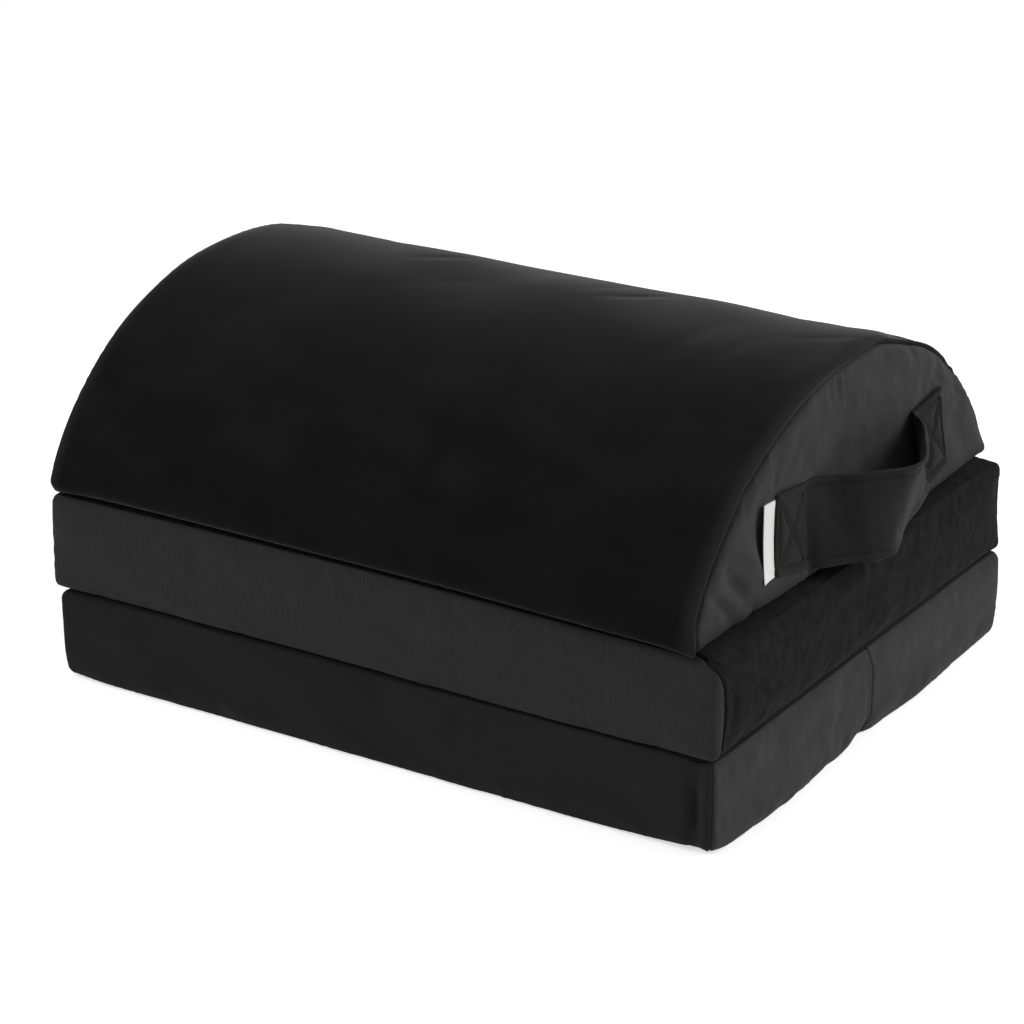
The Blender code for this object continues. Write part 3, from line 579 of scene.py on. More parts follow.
def strap_pattern(tree, where):
    grain = noise(tree, where, 0.9)
    clouds = noise(tree, where, 16.0, 3.0, (1.0, 2.0, 1.0), (0.3, 0.7))
    # The rear sewn end is folded under; over its last 28 mm, fading out by 36 mm, the colour is darkened
    # as painted shade
    run = add_node(tree, "SeparateXYZ", (where,), "X")
    folded = add_node(tree, links=(run, -36 * MM, -28 * MM), **SPREAD)
    mixed = weighted_sum(tree, (grain, 0.4), (clouds, 0.6))
    mixed = weighted_sum(tree, (mixed, 0.6), (folded, -0.45), (1.0, 0.4))
    woven = add_node(tree, "Math", (weave(tree, where, 0.8), grain), operation="ADD")
    return mixed, 0.2, 1.35, woven, 0.12, 0.6


def ribbon_pattern(tree, where):
    ribs = add_node(tree, "TexWave", {"Vector": where, "Scale": 0.314 / (0.6 * MM),
                                      "Distortion": 0.3}, "Fac", bands_direction="Y")
    return ribs, 0.93, 1.0, ribs, 0.04, 0.7


def foam_pattern(tree, where):
    # Painted shade: the colour is darkest in the middle of each cell, in the open pores, and the same
    # cells give the bump
    cells = add_node(tree, "TexVoronoi", {"Vector": where, "Scale": 1 / (1.2 * MM)}, "Distance")
    depth = add_node(tree, links=(cells, 0.0, 0.7), **SPREAD)
    return depth, 0.72, 1.05, depth, 0.5, 1.0


def tape_pattern(tree, where):
    ribs = weave(tree, where, 0.8, 45.0)
    return ribs, 0.75, 1.5, ribs, 0.15, 1.0


def enamel_pattern(tree, where):
    corners = add_node(tree, "NewGeometry", output="Pointiness")
    worn = add_node(tree, links=(corners, 0.53, 0.62), **SPREAD)
    specks = noise(tree, where, 1.5, 4.0)
    worn = add_node(tree, "Math", (worn, specks), operation="MULTIPLY")
    return worn, 1.0, 5.0, specks, 0.03, 1.0


def plain(millimetres, detail, low, high, depth):
    """One noise that gives both the colour and the bump."""
    def pattern(tree, where):
        haze = noise(tree, where, millimetres, detail)
        return haze, low, high, haze, depth, 1.0
    return pattern


def nap(specular, sheen, roughness, *tint):
    """Sockets of a cloth: its shine, and the sheen of its nap."""
    return {"Specular IOR Level": specular, "Sheen Weight": sheen, "Sheen Roughness": roughness,
            "Sheen Tint": (*tint, 1.0)}


# Material, colour, roughness, other sockets, coordinates (a cloth's UV map is in metres
# along it) and pattern
MICROFIBRE_NAP = nap(0.12, 0.06, 0.45, 0.6, 0.6, 0.6)
FINISHES = {
    # Polyester velour, warp-knitted and sheared: a dense short pile that looks black
    # face on, greys at a grazing angle, and keeps the clouds of the last brushing.
    # A painted highlight lightens the velour along both end edges.
    "velour": ("polyester_velour_sheared", "velour", 0.95, nap(0.08, 0.5, 0.3, 0.5, 0.5, 0.51),
               "UV", velour_pattern),
    # Polyester microfibre, woven and brushed: a soft charcoal face with faint
    # upright streaks where the nap lies one way or the other.
    "end_cloth": ("microfibre_brushed", "end_cloth", 0.88, MICROFIBRE_NAP, "UV",
                  microfibre_pattern),
    # The same microfibre with painted shade: darker along the arched seam over the front part of the
    # end, and a painted shadow line along the base seam.
    "seam_shaded_end": ("microfibre_pulled", "end_cloth", 0.88, MICROFIBRE_NAP, "UV",
                   seam_shade_pattern),
    # Polyester suedette, woven and sanded: flat black with a very fine grain.
    "matte_cloth": ("suedette_sanded", "matte_cloth", 0.92, nap(0.1, 0.05, 0.5, 0.5, 0.5, 0.5),
                    "UV", suedette_pattern),
    # Polyester jersey, knitted from slubbed yarn: a dark ground with fine paler specks
    # and a faint upright rib.
    "knit": ("jersey_slubbed", "knit", 0.85, nap(0.15, 0.05, 0.5, 0.6, 0.6, 0.6), "UV",
             jersey_pattern),
    # Polyester plush, pile-knitted and brushed upright: deep black with soft streaks
    # where tufts part.
    "plush": ("plush_brushed", "plush", 1.0, nap(0.05, 0.1, 0.4, 0.35, 0.35, 0.35), "UV",
              plush_pattern),
    # Polyester microfibre, folded and hemmed: the ends' cloth in black, with a
    # tight weave and a little more shine where it is stretched.
    # Its rear sewn end carries painted shade.
    "strap": ("microfibre_hemmed", "strap", 0.8, nap(0.15, 0.05, 0.4, 0.6, 0.6, 0.6), "UV",
              strap_pattern),
    # Spun polyester sewing thread: two plies twisted, with a soft sheen.
    "thread": ("polyester_thread_spun", "thread", 0.8, {"Specular IOR Level": 0.15}, "Object",
               plain(0.5, 2.0, 0.8, 1.3, 0.05)),
    # Polyester satin ribbon, woven with cut edges: smooth white with fine cross ribs.
    "label": ("satin_ribbon_woven", "label", 0.45, {"IOR": 1.5}, "UV", ribbon_pattern),
    # Polyurethane foam, sawn from a block: pale grey with open cells.
    "foam": ("polyurethane_foam_sawn", "foam", 0.95, {"IOR": 1.4}, "Object", foam_pattern),
    # Polyester tape, woven in a herringbone: matte black with slanted ribs.
    "tape": ("polyester_tape_woven", "tape", 0.75, {"IOR": 1.5}, "UV", tape_pattern),
    # Nylon loop tape, knitted and napped: a tangle of fine loops, dull black.
    "pile": ("nylon_loop_napped", "tape", 0.95, {
        "IOR": 1.5, "Sheen Weight": 0.3, "Sheen Roughness": 0.5, "Sheen Tint": (0.6, 0.6, 0.6, 1.0),
    }, "UV", plain(0.8, 5.0, 0.5, 2.2, 0.5)),
    # Nylon monofilament, drawn and heat-set: smooth, with a soft plastic gloss.
    "coil": ("nylon_coil_set", "coil", 0.42, {"IOR": 1.53}, "Object",
             plain(0.7, 2.0, 0.85, 1.2, 0.03)),
    # Nylon monofilament again, its loops cut open to hooks: a little duller.
    "hooks": ("nylon_hook_cut", "tape", 0.5, {"IOR": 1.53}, "Object",
              plain(0.7, 2.0, 0.85, 1.2, 0.03)),
    # Zinc alloy, die-cast and enamelled black: even gloss, with the paint worn thin
    # and grey on the corners.
    "metal": ("zinc_die_cast_enamelled", "metal", 0.38, {"Metallic": 0.55}, "Object",
              enamel_pattern),
    # Thermoplastic rubber, printed on in drops: dark grey with a dull gloss.
    "rubber": ("thermoplastic_rubber_printed", "dots", 0.55, {"IOR": 1.52}, "Object",
               plain(2.0, 4.0, 0.85, 1.3, 0.04)),
}
made_finishes = {}


def finish(look):
    """Each material is made once, from its row and the scene's colours."""
    if look not in made_finishes:
        name, colour_name, roughness, sockets, coordinates, pattern = FINISHES[look]
        base = tuple(getattr(bpy.context.scene.footrest.colours, colour_name))
        made_finishes[look], tree, shader = fresh_material(name, base, roughness, sockets)
        where = add_node(tree, "TexCoord", output=coordinates)
        factor, low, high, height, depth, strength = pattern(tree, where)
        shades = [(*(min(channel * share, 1.0) for channel in base), 1.0) for share in (low, high)]
        colour_mix = add_node(tree, "Mix", {0: factor, 6: shades[0], 7: shades[1]}, 2,
                              data_type="RGBA")
        bump = add_node(tree, "Bump", {"Height": height, "Distance": depth * MM,
                                       "Strength": strength})
        tree.links.new(colour_mix, shader.inputs["Base Color"])
        tree.links.new(bump, shader.inputs["Normal"])
    return made_finishes[look]


# The swelling of a cover, by cloth simulation


SWELL_FRAMES = 20

# Half the height of the strip along a zip that doesn't swell
ZIP_HOLD = 9 * MM


def simulated_swell(grids, held, cap, pressure, seed):
    """How far each point of some joined grids moves when the cover fills with air.

    Points that lie together are one point.  Held points stay, the rest is cloth with
    a little uneven slack.  A move m is eased to cap * tanh(m / cap).
    """
    points = np.concatenate([grid.reshape(-1, 3) for grid in grids])
    centre = points.mean(0)
    _, first, inverse = np.unique(np.round(points / (0.05 * MM)).astype(int), axis=0,
                                  return_index=True, return_inverse=True)
    inverse = inverse.ravel()
    quads, start = [], 0
    for grid in grids:
        own = grid_quads(*grid.shape[:2]) + start
        quads.append(facing(points, own, points[own].mean(1) - centre))
        start += grid.shape[0] * grid.shape[1]
    quads = inverse[np.concatenate(quads)]
    rest = points[first]
    pinned = np.zeros(len(rest))
    np.maximum.at(pinned, inverse, np.concatenate([mask.ravel() for mask in held]).astype(float))

    mesh = bpy.data.meshes.new("cover_blank")
    mesh.from_pydata(rest.tolist(), [], quads.tolist())
    blank = link_object("cover_blank", mesh)
    sewn, slack = blank.vertex_groups.new(name="sewn"), blank.vertex_groups.new(name="slack")
    uneven = np.clip(0.5 + 0.35 * wander(seed, 60 * MM, *rest.T), 0, 1)
    for k in range(len(rest)):
        sewn.add([k], pinned[k], "REPLACE")
        slack.add([k], uneven[k], "REPLACE")
    cloth = blank.modifiers.new("Cloth", "CLOTH")
    cloth.point_cache.frame_start, cloth.point_cache.frame_end = 1, SWELL_FRAMES
    fabric = cloth.settings
    fabric.quality = 6
    fabric.mass = 0.25
    fabric.bending_stiffness = 0.6
    fabric.use_pressure = True
    fabric.uniform_pressure_force = pressure
    fabric.vertex_group_mass = "sewn"
    fabric.vertex_group_shrink = "slack"
    fabric.shrink_min, fabric.shrink_max = -0.012, 0.004
    fabric.effector_weights.gravity = 0
    scene = bpy.context.scene
    for number in range(1, SWELL_FRAMES + 1):
        scene.frame_set(number)
    evaluated = blank.evaluated_get(bpy.context.evaluated_depsgraph_get())
    moved = np.empty(len(rest) * 3, np.float32)
    evaluated.data.vertices.foreach_get("co", moved)
    bpy.data.objects.remove(blank)
    bpy.data.meshes.remove(mesh)
    scene.frame_set(1)

    move = moved.reshape(-1, 3).astype(float) - rest
    reach = np.linalg.norm(move, axis=1, keepdims=True)
    move *= cap * np.tanh(reach / cap) / np.maximum(reach, 1e-9)
    fields, start = [], 0
    for grid in grids:
        count = grid.shape[0] * grid.shape[1]
        fields.append(move[inverse[start:start + count]].reshape(grid.shape))
        start += count
    return fields


# Flat pads: a box core with a ball rolled round it


ALL = math.inf

# Where the layers are pressed in or swollen: centre, reach and shift, in millimetres
NUDGES = {
    "base": (
        ((0, -171, 0), (ALL, 11, 10), (0, 0.7, 0.6)),
        ((213, -171, 0), (45, 14, 10), (-1.5, 1.2, 2.5)),
        ((-213, -171, 0), (22, 14, 12), (1.2, 0.9, 1.6)),
        ((-213, -171, 30), (14, 14, 26), (0.2, 0.1, 0)),
        ((213, -92, 6), (14, 46, 17), (3.9, 0, 0)),
        ((213, 74, 6), (14, 40, 17), (3.1, 0, 0)),
        ((213, -1, 2), (12, 8, 10), (-2.0, 0, 0.8)),
        ((213, 170, 0), (14, 14, 10), (-0.8, -0.8, 1.0)),
        ((213, 170, 30), (16, 16, 30), (1.3, 1.3, 0)),
        ((0, -167, 52), (ALL, 12, 9), (0, 0, 0.9)),
        ((210, 0, 52), (12, ALL, 9), (0, 0, 0.9)),
    ),
    "middle": (
        ((-217, -171, 83), (14, 14, 30), (0.4, 0.2, 0)),
        ((-217, -171, 111), (14, 14, 10), (1.0, 0.5, -0.8)),
        ((-60, -167, 110), (150, 12, 9), (0, 0, 1.0)),
        ((150, -171, 111), (75, 9, 9), (0, 0.9, -1.7)),
        ((213, 171, 95), (16, 16, 28), (-0.9, -1.1, 0)),
        ((213, 171, 56), (16, 16, 10), (0.8, 1.0, -0.9)),
        ((213, 171, 111), (30, 26, 10), (0, 0, -2.6)),
        ((110, -171, 55), (100, 10, 9), (0, -0.5, -1.2)),
    ),
    "cushion": (
        ((198, 0, 114), (9, ALL, 8), (4.5, 0, -1.7)),
        ((198, 15, 124), (24, 120, 17), (3.6, 0, 0)),
        ((180, -172, 114), (90, 10, 8), (0, -2.2, -1.9)),
        ((198, -172, 114), (20, 10, 8), (0.5, -1.0, -0.4)),
        ((-130, -172, 114), (120, 9, 7), (0, 1.0, 0.5)),
        ((198, 70, 208), (30, 30, 20), (-0.7, 0, -1.1)),
        ((198, 165, 150), (30, 20, 22), (0.8, 0.8, 0)),
        ((198, 167, 114), (30, 12, 10), (0, 2.5, -1.5)),
        ((-212, -172, 114), (20, 12, 8), (-0.8, -0.8, -1.2)),
    ),
}


class Pad:
    """Skin of a flat pad, by distance round it and distance up its side.

    Distance round starts at the front right corner's end and runs past the right,
    rear, left and front sides; distance up starts at the base seam.
    """

    def __init__(self, prefix, settings):
        boxes = [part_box(name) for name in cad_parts
                 if name.startswith(prefix) and "_panel" in name]
        low = np.min([np.array(box[0]) for box in boxes], 0)
        high = np.max([np.array(box[1]) for box in boxes], 0)
        self.settings = settings
        self.nudges = NUDGES[prefix]
        self.body = f"{prefix}_pad"
        self.radius = radius = settings.pad.edge_radius
        self.half = np.array(((high[0] - low[0]) / 2 - radius - settings.pad.swell * 0.8,
                              high[1] - radius))
        self.shift = np.array(((high[0] + low[0]) / 2, 0.0))
        self.centre_x = self.shift[0]
        self.low, self.high = low[2] + radius, high[2] - radius
        self.seam = settings.pad.seam_turn
        self.corners = np.array(((1, -1), (1, 1), (-1, 1), (-1, -1))) * self.half
        corner = radius * QUARTER
        lengths = [2 * self.half[1], corner, 2 * self.half[0], corner] * 2
        self.marks = np.concatenate([[-corner], np.cumsum([0.0, *lengths, *lengths[:2]])])
        self.turns = np.arange(-1, len(self.marks) - 1)
        self.perimeter = sum(lengths)
        arc = radius * self.seam
        self.levels = np.cumsum([0.0, arc, self.high - self.low, arc])
        self.rise = self.levels[-1]
        self.swell = None

    def distance(self, turns):
        return float(np.interp(turns, self.turns, self.marks))

    def skin(self, along, up):
        """Points and normals: core + flat normal * radius * cos(tilt), and sin(tilt) up."""
        turns = np.interp(along, self.marks, self.turns)
        side = np.floor(turns / 2).astype(int)
        part = turns - 2 * side
        first, second = self.corners[side % 4], self.corners[(side + 1) % 4]
        core = first + (second - first) * np.clip(part, 0, 1)[..., None] + self.shift
        angle = QUARTER * (side + np.clip(part - 1, 0, 1))
        tilt = np.interp(up, self.levels, (-self.seam, 0, 0, self.seam))
        height = np.interp(up, self.levels, (self.low, self.low, self.high, self.high))
        normals = np.stack(np.broadcast_arrays(np.cos(tilt) * np.cos(angle),
                                               np.cos(tilt) * np.sin(angle), np.sin(tilt)), -1)
        points = normals * self.radius
        points[..., :2] += core
        points[..., 2] += height
        return points, normals

    def fill_with_air(self, seed):
        """Swell field over the whole side, on an even grid, with the rear zip held."""
        step = self.settings.cover.blank_step
        along, up = np.meshgrid(even(self.perimeter, step), even(self.rise, step * 0.75))
        points, normals = self.skin(along, up)
        middle, height = self.zip_line()
        held = np.abs(along - middle) < self.settings.zip.length / 2
        held &= np.abs(up - height) < ZIP_HOLD
        held[[0, -1]] = True
        self.swell, = simulated_swell([points], [held], self.settings.pad.swell,
                                      self.settings.cover.pressure, seed)

    def zip_line(self):
        """Distance round the pad and up its side of the middle of the rear zip."""
        return (self.distance(2) + self.distance(3)) / 2, self.rise / 2

    def swollen(self, along, up):
        """Skin points with the swell read at the same places."""
        points, normals = self.skin(along, up)
        rows, columns = self.swell.shape[:2]
        ring = np.concatenate([self.swell[:, -4:-1], self.swell, self.swell[:, 1:4]], 1)
        places = (along % self.perimeter) / self.perimeter * (columns - 1) + 3
        return points + read_field(ring, up / self.rise * (rows - 1), places), normals


def seam_relief(cover, distance, ridge=0.0, scale=1.0):
    """A valley along the seam, and a low ridge beside it where the allowance lies."""
    wide = cover.seam_width * scale
    valley = cover.seam_depth * scale * bell(distance, wide)
    return ridge * bell(distance - 2.2 * wide, 1.1 * wide) - valley


def gathers(cover, distance, along, seed, strength=1.0):
    """Short puckers that start just off the seam and die away from it."""
    rise = 1 - bell(distance, 1.2 * cover.seam_width)
    fall = np.exp(-distance / cover.pucker_reach)
    lines = wander(seed, 6.5 * MM, along) * (0.6 + 0.4 * wander(seed + 1, 60 * MM, along))
    return strength * cover.pucker * rise * fall * lines


def bent_seam(pad, along, up, bend):
    """How far places near a seam move sideways: bend is its turn and its bow.

    The bow is the cube of the height's share from the middle, so that the seam leans
    towards the front mostly at its top and base.
    """
    if bend is None:
        return 0.0
    turns, top, base = bend
    share = 2 * up / pad.rise - 1
    bow = -np.where(share > 0, top, base) * np.abs(share) ** 3
    off = (along - pad.distance(turns) + pad.perimeter / 2) % pad.perimeter - pad.perimeter / 2
    return bow * bell(off, 26 * MM)


def add_cover(owner, name, points, normals, height, thickness, places, cloth,
              keep=None):
    """A cover panel raised by its height, nudged, and standing for the panel of its name."""
    points = nudged(points + normals * height[..., None], owner.nudges)
    mesh = sheet_mesh(name, points, grid_normals(points, normals), thickness, places, keep)
    node = name.replace("cushion", "dome").replace("cover", "panel")
    add_piece(name, mesh, cloth, owner.body, (node,))


def sewn_thickness(cover, to_seam):
    """Cloth that is thicker at a seam, where its edge is turned in."""
    return cover.thickness + 1.5 * MM * bell(to_seam, 0.6 * MM)


def pad_side(pad, name, start, end, cloth, seed, dents=(), zip_line=None, bend=None):
    """One side panel of a pad, from seam to seam, with its folds and puckers."""
    settings = pad.settings
    cover = settings.cover
    first, last = pad.distance(start), pad.distance(end)
    marks_along, marks_up = (), ()
    if zip_line:
        middle, height = zip_line
        half = settings.zip.length / 2
        marks_along = (middle - half - first, middle + half - first)
        marks_up = (height - settings.zip.opening / 2, height + settings.zip.opening / 2)
    along = graded(last - first, cover.panel_step, marks_along) + first
    up = graded(pad.rise, cover.panel_step, marks_up)
    a, u = np.meshgrid(along, up)
    points, normals = pad.swollen(a + bent_seam(pad, a, u, bend), u)
    to_level = to_nearer_end(u, pad.rise)
    to_end = np.minimum(a - first, last - a)
    height = seam_relief(cover, to_level) + seam_relief(cover, to_end)
    height += 0.6 * gathers(cover, to_level, a, seed) + gathers(cover, to_end, u, seed + 5)
    clear = (1 - bell(to_level, 5 * MM)) * (1 - bell(to_end, 5 * MM))
    height += cover.drape * clear * wander(seed + 9, 55 * MM, a, u * 2.2)
    for place, level, wide, tall, depth in dents:
        height -= depth * bell(a - place, wide) * bell(u - level * pad.rise, tall)
    keep = None
    if zip_line:
        height, keep = zip_opening(settings.zip, height, along, up, first + marks_along[0],
                                   first + marks_along[1], *marks_up)
    thickness = sewn_thickness(cover, np.minimum(to_level, to_end))
    add_cover(pad, name, points, normals, height, thickness, (a, u), cloth, keep=keep)


def zip_opening(sizes, height, along, up, left, right, low, high):
    """Raise a folded lip round a zip's opening and say which quads stay."""
    a, u = np.meshgrid(along, up)
    off_a = np.maximum(np.maximum(left - a, a - right), 0)
    off_u = np.maximum(np.maximum(low - u, u - high), 0)
    away = np.hypot(off_a, off_u)
    height = height * (1 - bell(away, 6 * MM)) + sizes.lip * bell(away, 2.4 * MM)
    height = height - sizes.lip * 0.9 * bell(away - sizes.stitch_inset, 0.7 * MM)
    middle_a, middle_u = (along[1:] + along[:-1]) / 2, (up[1:] + up[:-1]) / 2
    across, upright = (middle_a > left) & (middle_a < right), (middle_u > low) & (middle_u < high)
    return height, ~(across[None] & upright[:, None])


def corner_fill(p, q):
    """Unit square to quarter disc: p * sqrt(1 - q^2 / 2) and q * sqrt(1 - p^2 / 2)."""
    return p * np.sqrt(1 - q ** 2 / 2), q * np.sqrt(1 - p ** 2 / 2)


def round_face(owner, name, half, shift, level, up, seam, cloth, seed, sink=0.0, slot=None):
    """A flat top or base panel: level, then rolled over the edge down to its seam.

    Beyond the core by e the height falls as radius - sqrt(radius^2 - e^2).  The
    level part lies deeper by the sink.
    """
    cover, radius = owner.settings.cover, owner.radius
    reach = radius * math.cos(seam)
    lines = [graded(2 * (h + reach), cover.face_step, (reach, 2 * h + reach)) - h - reach
             for h in half]
    x, y = np.meshgrid(*lines)
    over = [np.clip((np.abs(v) - h) / reach, 0, 1) for v, h in zip((x, y), half)]
    ex, ey = (e * reach for e in corner_fill(*over))
    e = np.hypot(ex, ey)
    fall = np.sqrt(radius ** 2 - e ** 2)
    sx, sy = np.sign(x), np.sign(y)
    points = np.stack([np.clip(x, -half[0], half[0]) + sx * ex + shift[0],
                       np.clip(y, -half[1], half[1]) + sy * ey + shift[1],
                       level + up * fall], -1)
    normals = np.stack([sx * ex, sy * ey, up * fall], -1) / radius
    within = np.minimum(half[0] - np.abs(x), half[1] - np.abs(y))
    to_seam = reach - e + np.clip(within, 0, 1.0)
    height = seam_relief(cover, to_seam) - sink * (1 - bell(to_seam - reach, 6 * MM)) * (to_seam > reach)
    height += -0.12 * MM * (1 + wander(seed, 40 * MM, x, y)) * (to_seam > reach)
    add_cover(owner, name, points, normals, height, cover.thickness, (x, y), cloth)


def pad_face(pad, prefix, name, up, cloth, **options):
    """The top panel (up is 1) or base panel (up is -1) of a pad."""
    round_face(pad, f"{prefix}_{name}", pad.half, pad.shift, pad.high if up > 0 else pad.low, up,
               pad.seam, cloth, len(name), **options)


def corner_seam(side):
    """Place round a pad, in the middle of the corner after a side, where a seam runs."""
    return 2 * side + 1.5


class FOOTREST_OT_base_cover(bpy.types.Operator):
    """Base pad's cover: pieced ends, front, rear with a zip, top and non-slip underside"""
    bl_idname = "footrest.base_cover"
    bl_label = "Base Pad Cover"

    def execute(self, context):
        pad = layer("base")
        join = (pad.settings.pad.join_y + pad.half[1]) / (2 * pad.half[1])
        corner = pad.distance(corner_seam(FRONT))
        front_fold = [(corner - 10.5 * MM, 0.5, 3.6 * MM, 24 * MM, 4.8 * MM),
                      (corner - 4 * MM, 0.5, 2.2 * MM, 17 * MM, -1.2 * MM)]
        pad_side(pad, "base_front_cover", corner_seam(LEFT), corner_seam(FRONT), "matte_cloth", 21,
                 front_fold)
        pad_side(pad, "base_left_cover", corner_seam(REAR), corner_seam(LEFT), "end_cloth", 22)
        pad_side(pad, "base_rear_cover", corner_seam(RIGHT), corner_seam(REAR), "matte_cloth", 23,
                 zip_line=pad.zip_line())
        join_place = pad.distance(join)
        knot = [(join_place, 0.1, 5 * MM, 6 * MM, 1.2 * MM),
                (join_place - 5 * MM, 0.4, 2.5 * MM, 22 * MM, 0.8 * MM)]
        pad_side(pad, "base_end_cover_front", corner_seam(FRONT) - 8, join, "end_cloth", 24, knot)
        pad_side(pad, "base_end_cover_rear", join, corner_seam(RIGHT), "end_cloth", 25, knot)
        # Painted shade: the top panel is given the darker matte cloth instead of the ends' charcoal
        # cloth, so that the ledge under the middle pad shows dark
        pad_face(pad, "base", "top_cover", 1, "matte_cloth")
        pad_face(pad, "base", "non_slip_cover", -1, "matte_cloth", sink=pad.settings.dots.height,
                 slot="non_slip_cloth")
        return {"FINISHED"}


class FOOTREST_OT_middle_cover(bpy.types.Operator):
    """Middle pad's cover: knit front wrapped round the corner, plush ends, rear with a zip"""
    bl_idname = "footrest.middle_cover"
    bl_label = "Middle Pad Cover"

    def execute(self, context):
        pad = layer("middle")
        wrap = 8 + pad.settings.pad.wrap / (2 * pad.half[1])
        bow = (wrap, 20 * MM, 4.5 * MM)
        pad_side(pad, "middle_front_cover", corner_seam(LEFT), wrap, "knit", 41, bend=bow)
        pad_side(pad, "middle_left_cover", corner_seam(REAR), corner_seam(LEFT), "plush", 42)
        pad_side(pad, "middle_rear_cover", corner_seam(RIGHT), corner_seam(REAR), "knit", 43,
                 zip_line=pad.zip_line())
        hollow = [(pad.distance(wrap - 8) + 7 * MM, 0.45, 3.0 * MM, 26 * MM, 0.8 * MM)]
        pad_side(pad, "middle_right_cover", wrap - 8, corner_seam(RIGHT), "plush", 44, hollow,
                 bend=bow)
        # Partly painted shade: the top panel is the dark plush, chosen so that the ledge under the
        # cushion shows dark
        pad_face(pad, "middle", "top_cover", 1, "plush")
        pad_face(pad, "middle", "base_cover", -1, "end_cloth")
        return {"FINISHED"}


# Half-round cushion: an arched core with a ball rolled round it


# Share of the arch that each side of an end panel takes: 4/25
END_SIDE_SHARE = 0.16

# The arched seams are this much wider and deeper than the others
ARCH_SEAM = 1.5

# Soft creases in the curved top: start and end as run and over, depth, width, in metres
TOP_CREASES = (
    ((0.250, 0.236), (0.272, 0.262), 0.0007, 0.0045),
    ((0.372, 0.226), (0.404, 0.246), 0.0003, 0.0050),
    ((0.120, 0.240), (0.142, 0.262), 0.0005, 0.0050),
)

# Folds in the ends: start and end as y and z, depth, width, in metres
END_CREASES = (
    ((-0.138, 0.143), (-0.116, 0.121), 0.0044, 0.0038),
    ((-0.153, 0.136), (-0.136, 0.121), 0.0034, 0.0032),
    ((-0.124, 0.152), (-0.102, 0.128), -0.0020, 0.0045),
    ((-0.106, 0.165), (-0.100, 0.134), 0.0024, 0.0045),
    ((0.012, 0.186), (0.030, 0.168), 0.0012, 0.0090),
)


